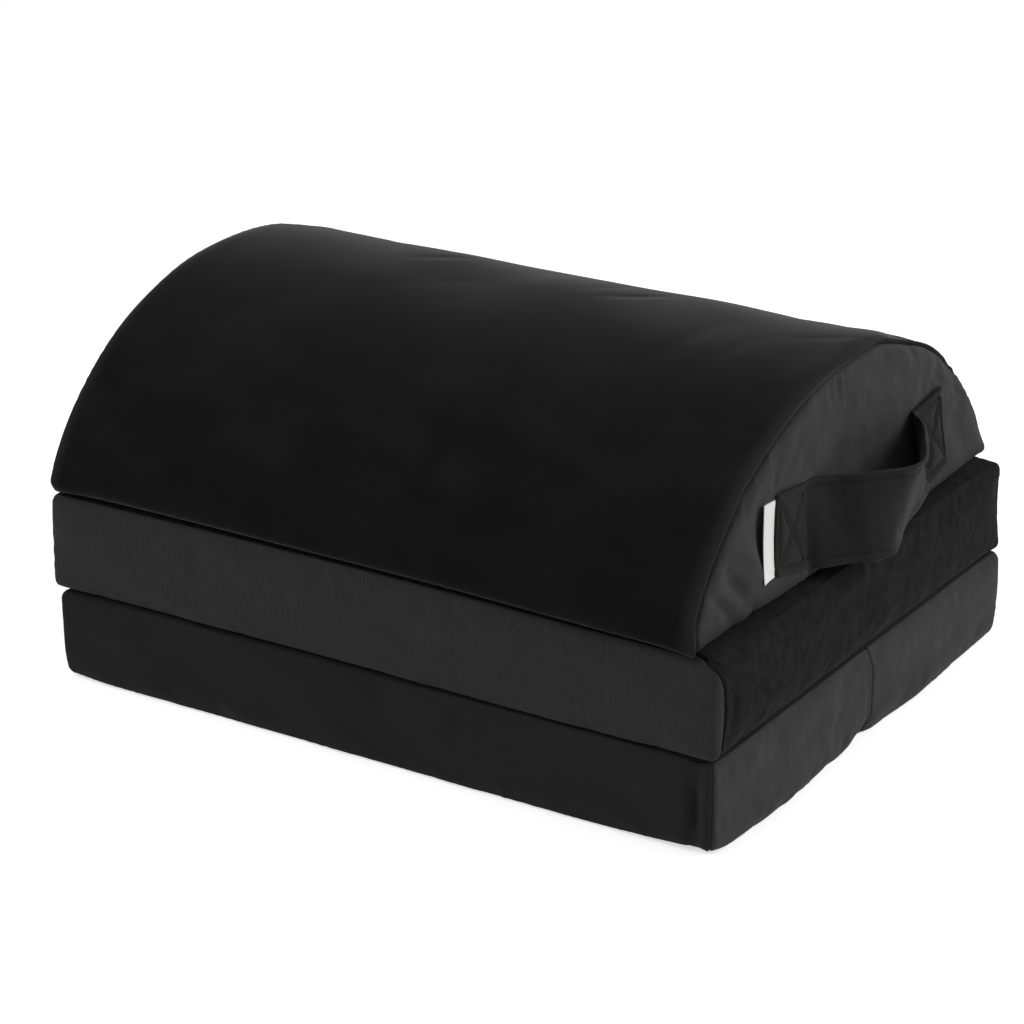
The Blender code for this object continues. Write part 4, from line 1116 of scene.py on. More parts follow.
class Cushion:
    """Skin of the half-round cushion, by distance over the arch and along X."""

    def __init__(self, settings):
        low, high = (np.array(corner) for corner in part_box("dome_top_panel"))
        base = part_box("dome_base_panel")[0][2]
        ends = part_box("dome_left_panel")[0][0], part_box("dome_right_panel")[1][0]
        sizes = settings.cushion
        self.settings = settings
        self.nudges = NUDGES["cushion"]
        self.body = "top_cushion"
        self.radius = radius = sizes.edge_radius
        self.half_x = (ends[1] - ends[0]) / 2 - radius
        self.half_y = (high[1] - low[1]) / 2 - radius
        self.origin = np.array(((ends[0] + ends[1]) / 2, (high[1] + low[1]) / 2, base + radius))
        self.centre_x = self.origin[0]
        self.height = high[2] - base - 2 * radius
        self.seam = sizes.seam_turn
        self.trace_section(sizes)
        arc = radius * self.seam
        self.runs = np.cumsum([0.0, arc, 2 * self.half_x, arc])
        self.length = self.runs[-1]
        self.fields = None

    def trace_section(self, sizes):
        """Table of the section by distance: core y and z, flat normal y and z, drop.

        The arch is height * (1 - |u|^round)^lift for u from -1 to 1, and under its
        front and rear feet the skin turns in by the skirt angle.
        """
        shares = np.linspace(0, 1, 1600)
        u = -np.cos(math.pi * shares)
        fall = np.maximum(1 - np.abs(u) ** sizes.arch_round, 0)
        y, z = self.half_y * u, self.height * fall ** sizes.arch_lift
        slope_y = np.gradient(y)
        slope_z = np.gradient(z)
        slope_y[[0, -1]], slope_z[[0, -1]] = 0.0, (1.0, -1.0)
        normals = unit(np.stack([-slope_z, slope_y], 1))
        drops = np.linspace(sizes.skirt_turn, 0, 40)[:-1]
        front, rear = (np.stack(np.broadcast_arrays(side * self.half_y, 0.0, side, 0.0, drops), 1)
                       for side in (-1.0, 1.0))
        arch = np.stack([y, z, *normals.T, np.zeros(len(y))], 1)
        self.table = np.concatenate([front, arch, rear[::-1]])
        self.table_runs = run_along(self.section_points(self.table, 1.0))
        self.arch = self.table_runs[-1]

    def section_points(self, table, flat):
        """Outline in y and z at a share of the ball that points along the section."""
        y, z, ny, nz, drop = table.T
        reach = self.radius * np.cos(drop) * flat
        return np.stack([y + reach * ny, z + reach * nz - self.radius * np.sin(drop)], 1)

    def section(self, over):
        return read_rows(over, self.table_runs, self.table)

    def turn_at(self, over):
        """How far round the end edges the end seams run: less past the arch's top."""
        past = np.clip((over / self.arch - 0.43) / 0.22, 0, 1)
        return self.seam * (1 - self.settings.cushion.rear_ease * past ** 2 * (3 - 2 * past))

    def skin(self, over, run):
        """Points and normals: the section's normal, turned towards X round the end edges."""
        y, z, ny, nz, drop = np.moveaxis(self.section(over), -1, 0)
        turns = np.interp(run, self.runs, (-1, 0, 0, 1)) * self.turn_at(over)
        x = np.interp(run, self.runs, (-self.half_x, -self.half_x, self.half_x, self.half_x))
        normals = np.stack(np.broadcast_arrays(
            np.cos(drop) * np.sin(turns),
            np.cos(drop) * np.cos(turns) * ny,
            np.cos(drop) * np.cos(turns) * nz - np.sin(drop)), -1)
        normals = unit(normals)
        points = normals * self.radius + self.origin
        points[..., 0] += x
        points[..., 1] += y
        points[..., 2] += z
        return points, normals

    def end_outline(self, over):
        """The end panel's arched border in y and z, at the seam."""
        return self.section_points(self.section(over), np.cos(self.turn_at(over)))

    def end_grid(self, across, rise):
        """Coons patch of the end panel in y and z, for shares across and up.

        The sides take the first and last shares of the arch and the top takes the
        rest: S = (1-v)B + vT + (1-u)L + uR less the bilinear blend of the corners.
        """
        side = END_SIDE_SHARE * self.arch
        u, v = across[None, :, None], rise[:, None, None]
        top = self.end_outline(side + across * (self.arch - 2 * side))[None]
        left = self.end_outline(rise * side)[:, None]
        right = self.end_outline(self.arch - rise * side)[:, None]
        base = (left[0] + (right[0] - left[0]) * across[:, None])[None]
        corners = ((1 - u) * (1 - v) * left[0] + u * (1 - v) * right[0]
                   + (1 - u) * v * left[-1] + u * v * right[-1])
        return (1 - v) * base + v * top + (1 - u) * left + u * right - corners

    def end_skin(self, across, rise, side):
        """Points, normals and distance to the seam of an end panel's grid."""
        flat = self.end_grid(across, rise)
        rim_over = np.linspace(0, self.arch, 700)
        rim = self.end_outline(rim_over)
        away = flat.reshape(-1, 1, 2) - rim[None]
        nearest = np.hypot(away[..., 0], away[..., 1]).argmin(1)
        off = away[np.arange(len(nearest)), nearest]
        way = unit(np.gradient(rim, axis=0))[nearest]
        to_arch = np.abs(off[:, 0] * way[:, 1] - off[:, 1] * way[:, 0]).reshape(flat.shape[:2])
        to_base = flat[..., 1] - rim[0, 1]
        low = self.radius * math.sin(self.settings.cushion.skirt_turn)
        section = self.section(rim_over)[nearest]
        reach = self.radius * np.cos(self.turn_at(rim_over[nearest])) * np.cos(section[:, 4])
        reach = reach.reshape(flat.shape[:2])
        over_arch = np.clip(reach - to_arch, 0, None)
        over_base = np.clip(low - to_base, 0, None)
        e = np.stack([over_arch * section[:, 2].reshape(flat.shape[:2]),
                      over_arch * section[:, 3].reshape(flat.shape[:2]) - over_base], -1)
        size = np.minimum(np.linalg.norm(e, axis=-1), 0.995 * self.radius)
        out = np.sqrt(self.radius ** 2 - size ** 2)
        points = np.stack([self.origin[0] + side * (self.half_x + out),
                           flat[..., 0] + self.origin[1], flat[..., 1] + self.origin[2]], -1)
        normals = unit(np.stack([side * out, e[..., 0], e[..., 1]], -1))
        over = (rim_over[nearest] + (off * way).sum(1)).reshape(flat.shape[:2])
        return points, normals, to_arch, to_base, over

    def fill_with_air(self, seed):
        """Swell fields of the curved top and both ends, on even grids."""
        step = self.settings.cover.blank_step
        # So that the end panels' points meet those of the arch, as END_SIDE_SHARE asks
        parts = max(int(round(self.arch / step / 25)), 1)
        side_cells, cells = 4 * parts, 25 * parts
        over = np.linspace(0, self.arch, cells + 1)
        run = even(self.length, step)
        top, normals = self.skin(over[:, None], run[None])
        across = np.linspace(0, 1, cells - 2 * side_cells + 1)
        rise = np.linspace(0, 1, side_cells + 1)
        self.fields = {}
        ends = {side: self.end_skin(across, rise, side) for side in (-1, 1)}
        for side, (points, *_) in ends.items():
            edge = top[:, -1 if side > 0 else 0]
            points[-1] = edge[side_cells:cells - side_cells + 1]
            points[:, 0], points[:, -1] = edge[:side_cells + 1], edge[cells - side_cells:][::-1]
        held = [(np.abs(over - self.zip_over()) < ZIP_HOLD)[:, None]
                & (np.abs(run - self.length / 2) < self.settings.zip.length / 2)[None]]
        held[0][[0, 1, -2, -1]] = True
        for side in (-1, 1):
            mask = np.zeros(ends[side][0].shape[:2], bool)
            mask[0] = True
            if side > 0:
                mask |= under_strap(ends[side][0])
            held.append(mask)
        grids = [top, ends[-1][0], ends[1][0]]
        moves = simulated_swell(grids, held, self.settings.cushion.swell,
                                self.settings.cover.pressure, seed)
        self.fields = dict(zip((0, -1, 1), moves))
        lift = (self.fields[0] * normals).sum(-1, keepdims=True)
        inside = 1 - bell(to_nearer_end(run, self.length), 16 * MM)[None]
        inside = inside * (1 - bell(to_nearer_end(over, self.arch), 16 * MM)[:, None])
        calm = (inside * ~held[0])[..., None]
        self.fields[0] -= calm * (0.78 * self.fields[0] + 0.22 * normals * lift.mean())

    def zip_over(self):
        """Distance over the arch, on the rear, at which the zip's middle lies."""
        over = np.linspace(self.arch / 2, self.arch, 900)
        heights = self.section_points(self.section(over), 1.0)[:, 1] + self.radius
        return float(np.interp(-self.settings.zip.rise, -heights, over))

    def swollen(self, run, over):
        """Skin points with the swell read at the same places."""
        points, normals = self.skin(over, run)
        field = self.fields[0]
        return points + read_field(field, over / self.arch * (field.shape[0] - 1),
                                   run / self.length * (field.shape[1] - 1)), normals


def under_strap(points):
    """Where the sewn ends of the strap hold the end panel down."""
    low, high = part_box("strap_front_end"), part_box("strap_rear_end")
    y, z = points[..., 1], points[..., 2]
    level = (z > low[0][2] - 4 * MM) & (z < high[1][2] + 4 * MM)
    front = (y > low[0][1] - 4 * MM) & (y < low[0][1] + 36 * MM)
    rear = (y < high[1][1] + 12 * MM) & (y > high[1][1] - 40 * MM)
    return level & (front | rear)


def cushion_top(cushion):
    """The velour sheet over the arch, with its feet creases and its rear zip opening."""
    settings = cushion.settings
    cover, sizes = settings.cover, settings.zip
    middle = cushion.zip_over()
    marks_over = (middle - sizes.opening / 2, middle + sizes.opening / 2)
    centre = cushion.length / 2
    marks_run = (centre - sizes.length / 2, centre + sizes.length / 2)
    over = graded(cushion.arch, cover.panel_step, marks_over)
    run = graded(cushion.length, cover.panel_step, marks_run)
    r, o = np.meshgrid(run, over)
    points, normals = cushion.swollen(r, o)
    to_end, to_base = to_nearer_end(r, cushion.length), to_nearer_end(o, cushion.arch)
    height = seam_relief(cover, to_end, cover.ridge_height, ARCH_SEAM) + seam_relief(cover, to_base)
    height += gathers(cover, to_end, o, 61) + gathers(cover, to_base, r, 62, 0.7)
    clear = (1 - bell(to_end, 9 * MM)) * (1 - bell(to_base, 9 * MM))
    height += cover.drape * clear * wander(63, 80 * MM, r, o)
    for start, end, depth, width in TOP_CREASES:
        height -= depth * crease(r, o, start, end, width)
    height, keep = zip_opening(sizes, height, run, over, *marks_run, *marks_over)
    thickness = sewn_thickness(cover, np.minimum(to_end, to_base))
    add_cover(cushion, "cushion_top_cover", points, normals, height, thickness, (r, o), "velour",
              keep=keep)


def crease(a, b, start, end, width):
    """A groove round the segment from start to end, fading at both ends."""
    start, end = np.array(start), np.array(end)
    way = end - start
    length = np.linalg.norm(way)
    t = ((a - start[0]) * way[0] + (b - start[1]) * way[1]) / length ** 2
    off = ((a - start[0]) * way[1] - (b - start[1]) * way[0]) / length
    return bell(off, width) * bell(t - 0.5, 0.55)


def cushion_end(cushion, side, name, seed):
    """A D-shaped end panel, swollen a little, with ripples inside its seam."""
    settings = cushion.settings
    cover = settings.cover
    wide, tall = 2 * cushion.half_y, END_SIDE_SHARE * cushion.arch * 1.15
    across = graded(wide, cover.panel_step) / wide
    rise = graded(tall, cover.panel_step * 0.8) / tall
    points, normals, to_arch, to_base, over = cushion.end_skin(across, rise, side)
    field = cushion.fields[side]
    points = points + read_field(field, rise[:, None] * (field.shape[0] - 1),
                                 across[None] * (field.shape[1] - 1))
    to_seam = np.minimum(to_arch, to_base)
    sizes = settings.cushion
    shallower = 1 - sizes.end_dip / (ARCH_SEAM * cover.seam_depth)
    height = seam_relief(cover, to_base) + seam_relief(cover, to_arch, scale=ARCH_SEAM) * shallower
    height -= sizes.end_dip * np.exp(-to_arch / sizes.end_reach)
    height += gathers(cover, to_arch, over, seed) + gathers(cover, to_base, points[..., 1], seed + 1)
    y, z = points[..., 1], points[..., 2]
    height += cover.drape * (1 - bell(to_seam, 8 * MM)) * wander(seed + 2, 60 * MM, y * 1.6, z)
    top = bell(over - 0.46 * cushion.arch, 18 * MM)
    height += 0.5 * MM * top * bell(to_arch - 8 * MM, 7 * MM) * wander(seed + 3, 6.5 * MM, over)
    height += 0.16 * MM * bell(to_arch, 30 * MM) * wander(seed + 4, 15 * MM, y, z * 0.7)
    for start, end, depth, width in END_CREASES:
        height -= depth * crease(y, z, start, end, width)
    places = (y - cushion.origin[1], z - cushion.origin[2])
    # The end cloth carries painted shade along the arched seam and the base
    add_cover(cushion, name, points, normals, height, sewn_thickness(cover, to_seam), places,
              "seam_shaded_end")


layers = {}


def layer(name):
    """Each layer's skin is worked out and filled with air once."""
    if name not in layers:
        settings = bpy.context.scene.footrest
        layers[name] = Cushion(settings) if name == "cushion" else Pad(name, settings)
        layers[name].fill_with_air(seed=len(name) * 7)
    return layers[name]


class FOOTREST_OT_cushion_cover(bpy.types.Operator):
    """Half-round cushion's cover: velour top with a rear zip, two D-shaped ends and a base"""
    bl_idname = "footrest.cushion_cover"
    bl_label = "Cushion Cover"

    def execute(self, context):
        cushion = layer("cushion")
        cushion_top(cushion)
        cushion_end(cushion, 1, "cushion_right_cover", 71)
        cushion_end(cushion, -1, "cushion_left_cover", 81)
        half = np.array((cushion.half_x, cushion.half_y))
        round_face(cushion, "cushion_base_cover", half, cushion.origin[:2], cushion.origin[2], -1,
                   cushion.settings.cushion.skirt_turn, "end_cloth", 91)
        return {"FINISHED"}


# Foam blocks


def welded(mesh):
    """Join points that lie together, which also closes seams and poles."""
    bm = bmesh.new()
    bm.from_mesh(mesh)
    bmesh.ops.remove_doubles(bm, verts=bm.verts, dist=0.01 * MM)
    bmesh.ops.recalc_face_normals(bm, faces=bm.faces)
    bm.to_mesh(mesh)
    bm.free()
    mesh.shade_smooth()
    mesh.set_sharp_from_angle(angle=math.radians(50))
    return mesh


def rounded_block(half, radius, step):
    """Vertices and quads of a box with round edges: core point + radius * direction.

    Each point of the outer box is split into its nearest core point and the rest,
    and the rest is given the length of the radius.
    """
    half = np.array(half)
    lines = [np.concatenate([-h - radius * np.array((1, 0.7, 0.4, 0.2)), even(2 * h, step) - h,
                             h + radius * np.array((0.2, 0.4, 0.7, 1))]) for h in half]
    vertices, quads, count = [], [], 0
    for axis in range(3):
        first, second = (axis + 1) % 3, (axis + 2) % 3
        a, b = np.meshgrid(lines[first], lines[second], indexing="ij")
        for end in (-1, 1):
            grid = np.empty((*a.shape, 3))
            grid[..., first], grid[..., second] = a, b
            grid[..., axis] = end * (half[axis] + radius)
            core = np.clip(grid, -half, half)
            vertices.append((core + radius * unit(grid - core)).reshape(-1, 3))
            quads.append(grid_quads(*a.shape) + count)
            count += a.size
    return np.concatenate(vertices), np.concatenate(quads)


def cushion_block(cushion, radius):
    """Vertices and quads of the half-round foam: an arched core with a ball rolled round it.

    The ring of the section turns its normals under both feet, and the rings turn
    towards X at the ends and shrink to the middle of each end.
    """
    arch = cushion.section(np.linspace(0, cushion.arch, 110))
    arch = arch[arch[:, 4] == 0][:, :4]
    half = cushion.half_y
    under = np.radians(np.linspace(0, 90, 5))[1:-1]
    base = np.linspace(half, -half, 26)
    rear = np.stack([np.full(3, half), np.zeros(3), np.cos(under), -np.sin(under)], 1)
    flat = np.stack([base, np.zeros(26), np.zeros(26), np.full(26, -1.0)], 1)
    front = np.stack([np.full(3, -half), np.zeros(3), -np.sin(under), -np.cos(under)], 1)
    ring = np.concatenate([arch, rear, flat, front, arch[:1]])
    turns = np.radians(np.linspace(-90, 0, 6))
    run = even(2 * cushion.half_x, 9 * MM) - cushion.half_x
    turns = np.concatenate([turns[:-1], np.zeros(len(run)), -turns[::-1][1:]])
    x = np.concatenate([np.full(5, run[0]), run, np.full(5, run[-1])])
    y, z, ny, nz = (column[:, None] for column in ring.T)
    points = np.stack(np.broadcast_arrays(x + radius * np.sin(turns),
                                          y + radius * np.cos(turns) * ny,
                                          z + radius * np.cos(turns) * nz), -1)
    middle = np.array((0.0, 0.0, cushion.height * 0.4))
    shrink = np.array((0.0, 0.2, 0.45, 0.7, 0.88))
    caps = []
    for edge in (points[:, :1], points[:, -1:]):
        centre = middle + edge * (1, 0, 0)
        caps.append(centre + (edge - centre) * shrink[:, None])
    return as_grid(np.concatenate([caps[0], points, caps[1][:, ::-1]], 1) + cushion.origin)


class FOOTREST_OT_foams(bpy.types.Operator):
    """Foam blocks inside the three covers"""
    bl_idname = "footrest.foams"
    bl_label = "Foam Blocks"

    def execute(self, context):
        for name in ("base", "middle"):
            pad = layer(name)
            radius = pad.radius - 4.6 * MM
            vertices, quads = rounded_block((*pad.half, (pad.high - pad.low) / 2), radius, 9 * MM)
            vertices = nudged(vertices + (*pad.shift, (pad.high + pad.low) / 2), pad.nudges)
            mesh = welded(quad_mesh(f"{name}_foam_block", vertices, quads))
            add_piece(f"{name}_foam_block", mesh, "foam", pad.body, (f"{name}_foam",))
        cushion = layer("cushion")
        vertices, quads = cushion_block(cushion, cushion.radius - 3.4 * MM)
        mesh = quad_mesh("cushion_foam_block", nudged(vertices, cushion.nudges), quads)
        add_piece("cushion_foam_block", welded(mesh), "foam", cushion.body,
                  ("dome_foam",))
        return {"FINISHED"}


# Sewing


BALL = bead(2)


def read_grid(grid, rows, columns):
    """Values of a grid of vectors at single fractional places, by halves of its cells."""
    r = np.clip(rows.astype(int), 0, grid.shape[0] - 2)
    c = np.clip(columns.astype(int), 0, grid.shape[1] - 2)
    fr, fc = (rows - r)[:, None], (columns - c)[:, None]
    return ((1 - fr) * ((1 - fc) * grid[r, c] + fc * grid[r, c + 1])
            + fr * ((1 - fc) * grid[r + 1, c] + fc * grid[r + 1, c + 1]))


def stitches(points, normals, pitch, length, thread):
    """Vertices and quads of stitches laid along a line of points.

    Every pitch along the line a stitch lies on its tangent, sunk a third of its
    thickness into the cloth.
    """
    run = run_along(points)
    count = max(int(run[-1] / pitch), 1)
    middle = (np.arange(count) + 0.5) * run[-1] / count
    ends = [read_rows(middle + way * length / 2, run, points) for way in (-1, 1)]
    up = unit(read_rows(middle, run, normals))
    along = (ends[1] - ends[0]) / 2
    side = np.cross(up, unit(along)) * thread / 2
    origins = (ends[0] + ends[1]) / 2 + up * thread * 0.15
    return scatter(*BALL, origins, along, side, up * thread / 2)


def sewing(points, normals):
    """Stitches of the strap's thread, which sews the zips too."""
    sizes = bpy.context.scene.footrest.strap
    return stitches(points, normals, sizes.stitch_pitch, sizes.stitch_length, sizes.thread)


def gather_parts(parts):
    """One set of vertices and quads out of several."""
    starts = np.cumsum([0, *[len(vertices) for vertices, _ in parts[:-1]]])
    return (np.concatenate([vertices for vertices, _ in parts]),
            np.concatenate([quads + start for (_, quads), start in zip(parts, starts)]))


# Strap


# Both long edges of the strap, front to rear, in millimetres: how far they stand off
# the cushion's end, and their y and z.  The loop leans out more at its top.
STRAP_TOP = (
    (0.0, -90.0, 170.0), (0.0, -74.0, 168.4), (0.6, -56.0, 166.7), (5.6, -42.7, 166.3),
    (17.6, -32.0, 166.3), (25.7, -20.8, 166.5), (36.0, -9.3, 166.8), (39.3, -1.1, 167.0),
    (39.0, 8.0, 167.0), (32.4, 23.0, 167.0), (22.4, 42.0, 167.0), (13.2, 56.0, 167.0),
    (4.5, 64.9, 167.0), (0.4, 72.0, 167.4), (0.0, 87.0, 169.4), (0.0, 102.3, 171.6),
)
STRAP_BOTTOM = (
    (0.0, -92.0, 126.2), (0.0, -74.5, 123.2), (0.6, -59.0, 120.8), (9.0, -53.0, 120.0),
    (21.0, -39.6, 120.0), (29.4, -32.1, 120.0), (34.0, -20.1, 120.0), (31.0, -8.0, 120.0),
    (24.6, 12.0, 120.0), (18.5, 32.0, 120.0), (12.5, 52.0, 120.0), (6.5, 72.0, 120.0),
    (2.2, 82.0, 120.8), (0.4, 88.0, 121.4), (0.0, 98.0, 122.9), (0.0, 110.9, 124.6),
)
# Rows of these lists where the free loop starts and ends, and the cells in each part
FRONT_BREAK, REAR_BREAK = 2, 13
STRAP_CELLS = (56, 170, 56)

# Height of a line through the loop, given with the start and end places of the strap's pieces
SWING_LEVEL = 0.143

# Pitch, length and thickness of the stitches on the hook and loop strips
STRIP_SEWING = (3.2 * MM, 2.3 * MM, 0.35 * MM)


def edge_line(points, cells):
    """Catmull-Rom curve through the points, evenly stepped in each of its three parts."""
    points = np.array(points) * MM
    knots = np.linspace(0, len(points) - 1, 40 * len(points))
    rows = sum(points[index] * weight[:, None] for index, weight in spline_taps(len(points), knots))
    run = run_along(rows)
    breaks = np.interp((0, FRONT_BREAK, REAR_BREAK, len(points) - 1), knots, run)
    places = np.concatenate([np.linspace(a, b, n, endpoint=False)
                             for a, b, n in zip(breaks, breaks[1:], cells)] + [breaks[-1:]])
    return read_rows(places, run, rows)


def line_distance(a, b, start, end):
    """Distance of places to the segment between two places."""
    way = np.subtract(end, start)
    t = np.clip(((a - start[0]) * way[0] + (b - start[1]) * way[1]) / (way @ way), 0, 1)
    return np.hypot(a - start[0] - t * way[0], b - start[1] - t * way[1])


def cross_box(first, last, low, high):
    """Six sewing lines of a sewn end: a rectangle and its two diagonals."""
    return (((first, low), (last, low)), ((first, high), (last, high)), ((first, low), (first, high)),
            ((last, low), (last, high)), ((first, low), (last, high)), ((first, high), (last, low)))


class FOOTREST_OT_strap(bpy.types.Operator):
    """Strap handle: a hemmed band sewn down at both ends, with its thread"""
    bl_idname = "footrest.strap"
    bl_label = "Strap Handle"

    def execute(self, context):
        sizes = context.scene.footrest.strap
        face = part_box("dome_right_panel")[1][0]
        edges = [edge_line(line, STRAP_CELLS) for line in (STRAP_BOTTOM, STRAP_TOP)]
        width = np.linalg.norm(edges[1] - edges[0], axis=1).mean()
        across = graded(width, 2.0 * MM, (sizes.hem_width, width - sizes.hem_width))
        share = (across / width)[None, :, None]
        middle = edges[0][:, None] * (1 - share) + edges[1][:, None] * share
        run = run_along(middle.mean(1))
        normals = grid_normals(middle)
        normals *= np.sign(normals[5, 5, 0])
        s, b = np.meshgrid(run, across, indexing="ij")
        total = run[-1]
        hem = sizes.hem_width
        boxes = (cross_box(3 * MM, sizes.front_patch - 1.5 * MM, hem, width - hem)
                 + cross_box(total - sizes.rear_patch, total - 3 * MM, hem, width - hem))
        hems = (((0.0, hem), (total, hem)), ((0.0, width - hem), (total, width - hem)))
        to_sewing = np.min([line_distance(s, b, *line) for line in boxes + hems], 0)
        groove = bell(to_sewing, 1.3 * MM)
        to_long_edge = to_nearer_end(b, width)
        to_edge = np.minimum(to_long_edge, to_nearer_end(s, total))
        on_patch = np.maximum(1 / (1 + np.exp((s - sizes.front_patch) / (0.5 * MM))),
                              1 / (1 + np.exp((total - sizes.rear_patch - 2 * MM - s) / (0.5 * MM))))
        thick = sizes.thickness + (sizes.patch_thickness - sizes.thickness) * on_patch
        thick = thick * (0.35 + 0.65 * np.sqrt(1 - (1 - np.clip(to_edge / (1.3 * MM), 0, 1)) ** 2))
        inside_hem = to_long_edge > hem
        soft = 0.22 * MM * wander(5, 24 * MM, s, b * 1.5) + 0.12 * MM * wander(6, 7 * MM, s * 0.6, b)
        off_edge = to_edge > 2 * MM
        thick = thick - 1.2 * MM * groove - 0.3 * MM * inside_hem * (1 - groove)
        thick = thick + 0.6 * soft * off_edge
        thick = thick + 0.9 * MM * on_patch * (1 - bell(to_sewing, 2.6 * MM)) * off_edge
        free = bell(s - total / 2, total / 3.6)
        middle = middle + normals * (1.1 * MM * free * wander(8, 44 * MM, s, b * 0.3))[..., None]
        inner = middle - normals * sizes.thickness / 2
        inner[..., 0] = np.maximum(inner[..., 0], 0.15 * MM) + face
        inner = nudged(inner, NUDGES["cushion"])
        outer = inner + normals * thick[..., None]
        mesh = sheet_mesh("strap_band", outer, normals, thick, (s - total, b))
        start, end = ((face + off, 0.0, SWING_LEVEL) for off in (1.5 * MM, sizes.stand_off))
        self.finish_piece("strap_band", mesh, "strap", start, end,
                          ("strap_front_end", "strap_loop", "strap_rear_end"))
        rows, columns = np.arange(len(run)), np.arange(len(across))
        parts = []
        for first, last in boxes + hems:
            count = max(int(math.dist(first, last) / (0.8 * MM)), 2)
            a = np.linspace(first[0], last[0], count)
            c = np.linspace(first[1], last[1], count)
            at = np.interp(a, run, rows), np.interp(c, across, columns)
            parts.append(sewing(read_grid(outer, *at), read_grid(normals, *at)))
        self.finish_piece("strap_thread", quad_mesh("strap_thread", *gather_parts(parts)), "thread",
                          start, end)
        return {"FINISHED"}

    def finish_piece(self, name, mesh, look, start, end, nodes=()):
        """Link the band or its thread, give it its material, bake its transform and hide the parts it
        stands for.
        """
        piece = link_object(name, mesh)
        mesh.materials.append(finish(look))
        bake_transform(piece)
        if nodes:
            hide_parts(*nodes)


class FOOTREST_OT_label(bpy.types.Operator):
    """Blank white ribbon label caught under the front end of the strap"""
    bl_idname = "footrest.label"
    bl_label = "Side Label"

    def execute(self, context):
        sizes = context.scene.footrest.label
        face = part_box("dome_right_panel")[1][0]
        low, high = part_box("side_label")
        out = even(sizes.width + 2 * MM, 0.8 * MM)
        up = even(sizes.height, 1.0 * MM)
        a, b = np.meshgrid(out, up)
        share = np.clip((a - 2 * MM) / sizes.width, 0, 1)
        bow = np.sin(math.pi * b / sizes.height)
        lift = sizes.lift * share ** 1.6 * (0.75 + 0.25 * bow)
        foot = 4.2 + 1.6 * share + 1.4 * (1 - share) * (1 - b / sizes.height)
        points = np.stack([face + 0.35 * MM + sizes.thickness + lift,
                           high[1] - 4 * MM - a - (1.2 * bow + 1.6) * MM * share,
                           low[2] + foot * MM + b], -1)
        points = nudged(points, NUDGES["cushion"])
        fold = np.sqrt(1 - np.clip((a - out[-1] + 0.8 * MM) / (0.8 * MM), 0, 0.97) ** 2)
        normals = grid_normals(points, np.array((1.0, 0.0, 0.0)))
        mesh = sheet_mesh("label_ribbon", points, normals, sizes.thickness * fold, (a, b))
        add_piece("label_ribbon", mesh, "label", "top_cushion", ("side_label",))
        return {"FINISHED"}


# Zips


def pillow_plate(outline, bottom, top, round_edge):
    """A flat plate with round edges and the given outline, closed top and bottom.

    Rings run from the middle of the top out to the edge, over it and back below; near
    the edge the outline shrinks by round_edge * (1 - cos) as the height turns.
    """
    middle = outline.mean(0)
    half = (top - bottom) / 2
    tilt = np.radians(np.linspace(90, -90, 9))
    size = np.linalg.norm(outline - middle, axis=1)[:, None]
    rim = middle + (outline - middle) * (1 - round_edge * (1 - np.cos(tilt))[:, None, None] / size)
    level = (top + bottom) / 2 + half * np.sin(tilt)
    inner = np.array((0.0, 0.4, 0.8))[:, None, None]
    over = middle + (rim[0] - middle) * inner
    rings = np.concatenate([over, rim, over[::-1]])
    levels = np.concatenate([np.full(3, level[0]), level, np.full(3, level[-1])])
    levels = np.broadcast_to(levels[:, None, None], (*rings.shape[:2], 1))
    points = np.concatenate([rings, levels], -1)
    return as_grid(np.concatenate([points, points[:, :1]], 1))


def holed_plate(outline, hole, half, round_edge, recess):
    """A plate with a hole: rings from the hole over the top to the edge and back below.

    Both lists of places go round together.  The recess lowers both faces in the
    field between the hole and the edge.
    """
    tilt = np.radians(np.linspace(80, -80, 7))
    share = np.linspace(0.02, 0.98, 14)
    way = outline - hole
    size = np.linalg.norm(way, axis=1)[:, None]
    rows, levels = [], []
    for t in share:
        rows.append(hole + way * t)
        levels.append(half - recess(hole + way * t))
    for angle in tilt:
        rows.append(outline - way / size * round_edge * (1 - math.cos(angle)))
        levels.append(np.full(len(outline), half * math.sin(angle)))
    for t in share[::-1]:
        rows.append(hole + way * t)
        levels.append(recess(hole + way * t) - half)
    for angle in tilt[::-1]:
        rows.append(hole + way / size * round_edge * (1 - math.cos(angle)) * 0.4)
        levels.append(np.full(len(outline), half * math.sin(angle)))
    rows.append(rows[0])
    levels.append(levels[0])
    points = np.concatenate([np.array(rows), np.array(levels)[..., None]], -1)
    return as_grid(np.concatenate([points, points[:, :1]], 1))


def round_corners(half_long, half_wide, power, count=40):
    """Places on a rounded rectangle: |x / a|^power + |y / b|^power = 1."""
    angle = np.linspace(0, 2 * math.pi, count, endpoint=False)
    cosine, sine = np.cos(angle), np.sin(angle)
    reach = (np.abs(cosine / half_long) ** power + np.abs(sine / half_wide) ** power) ** (-1 / power)
    return np.stack([cosine * reach, sine * reach], 1)


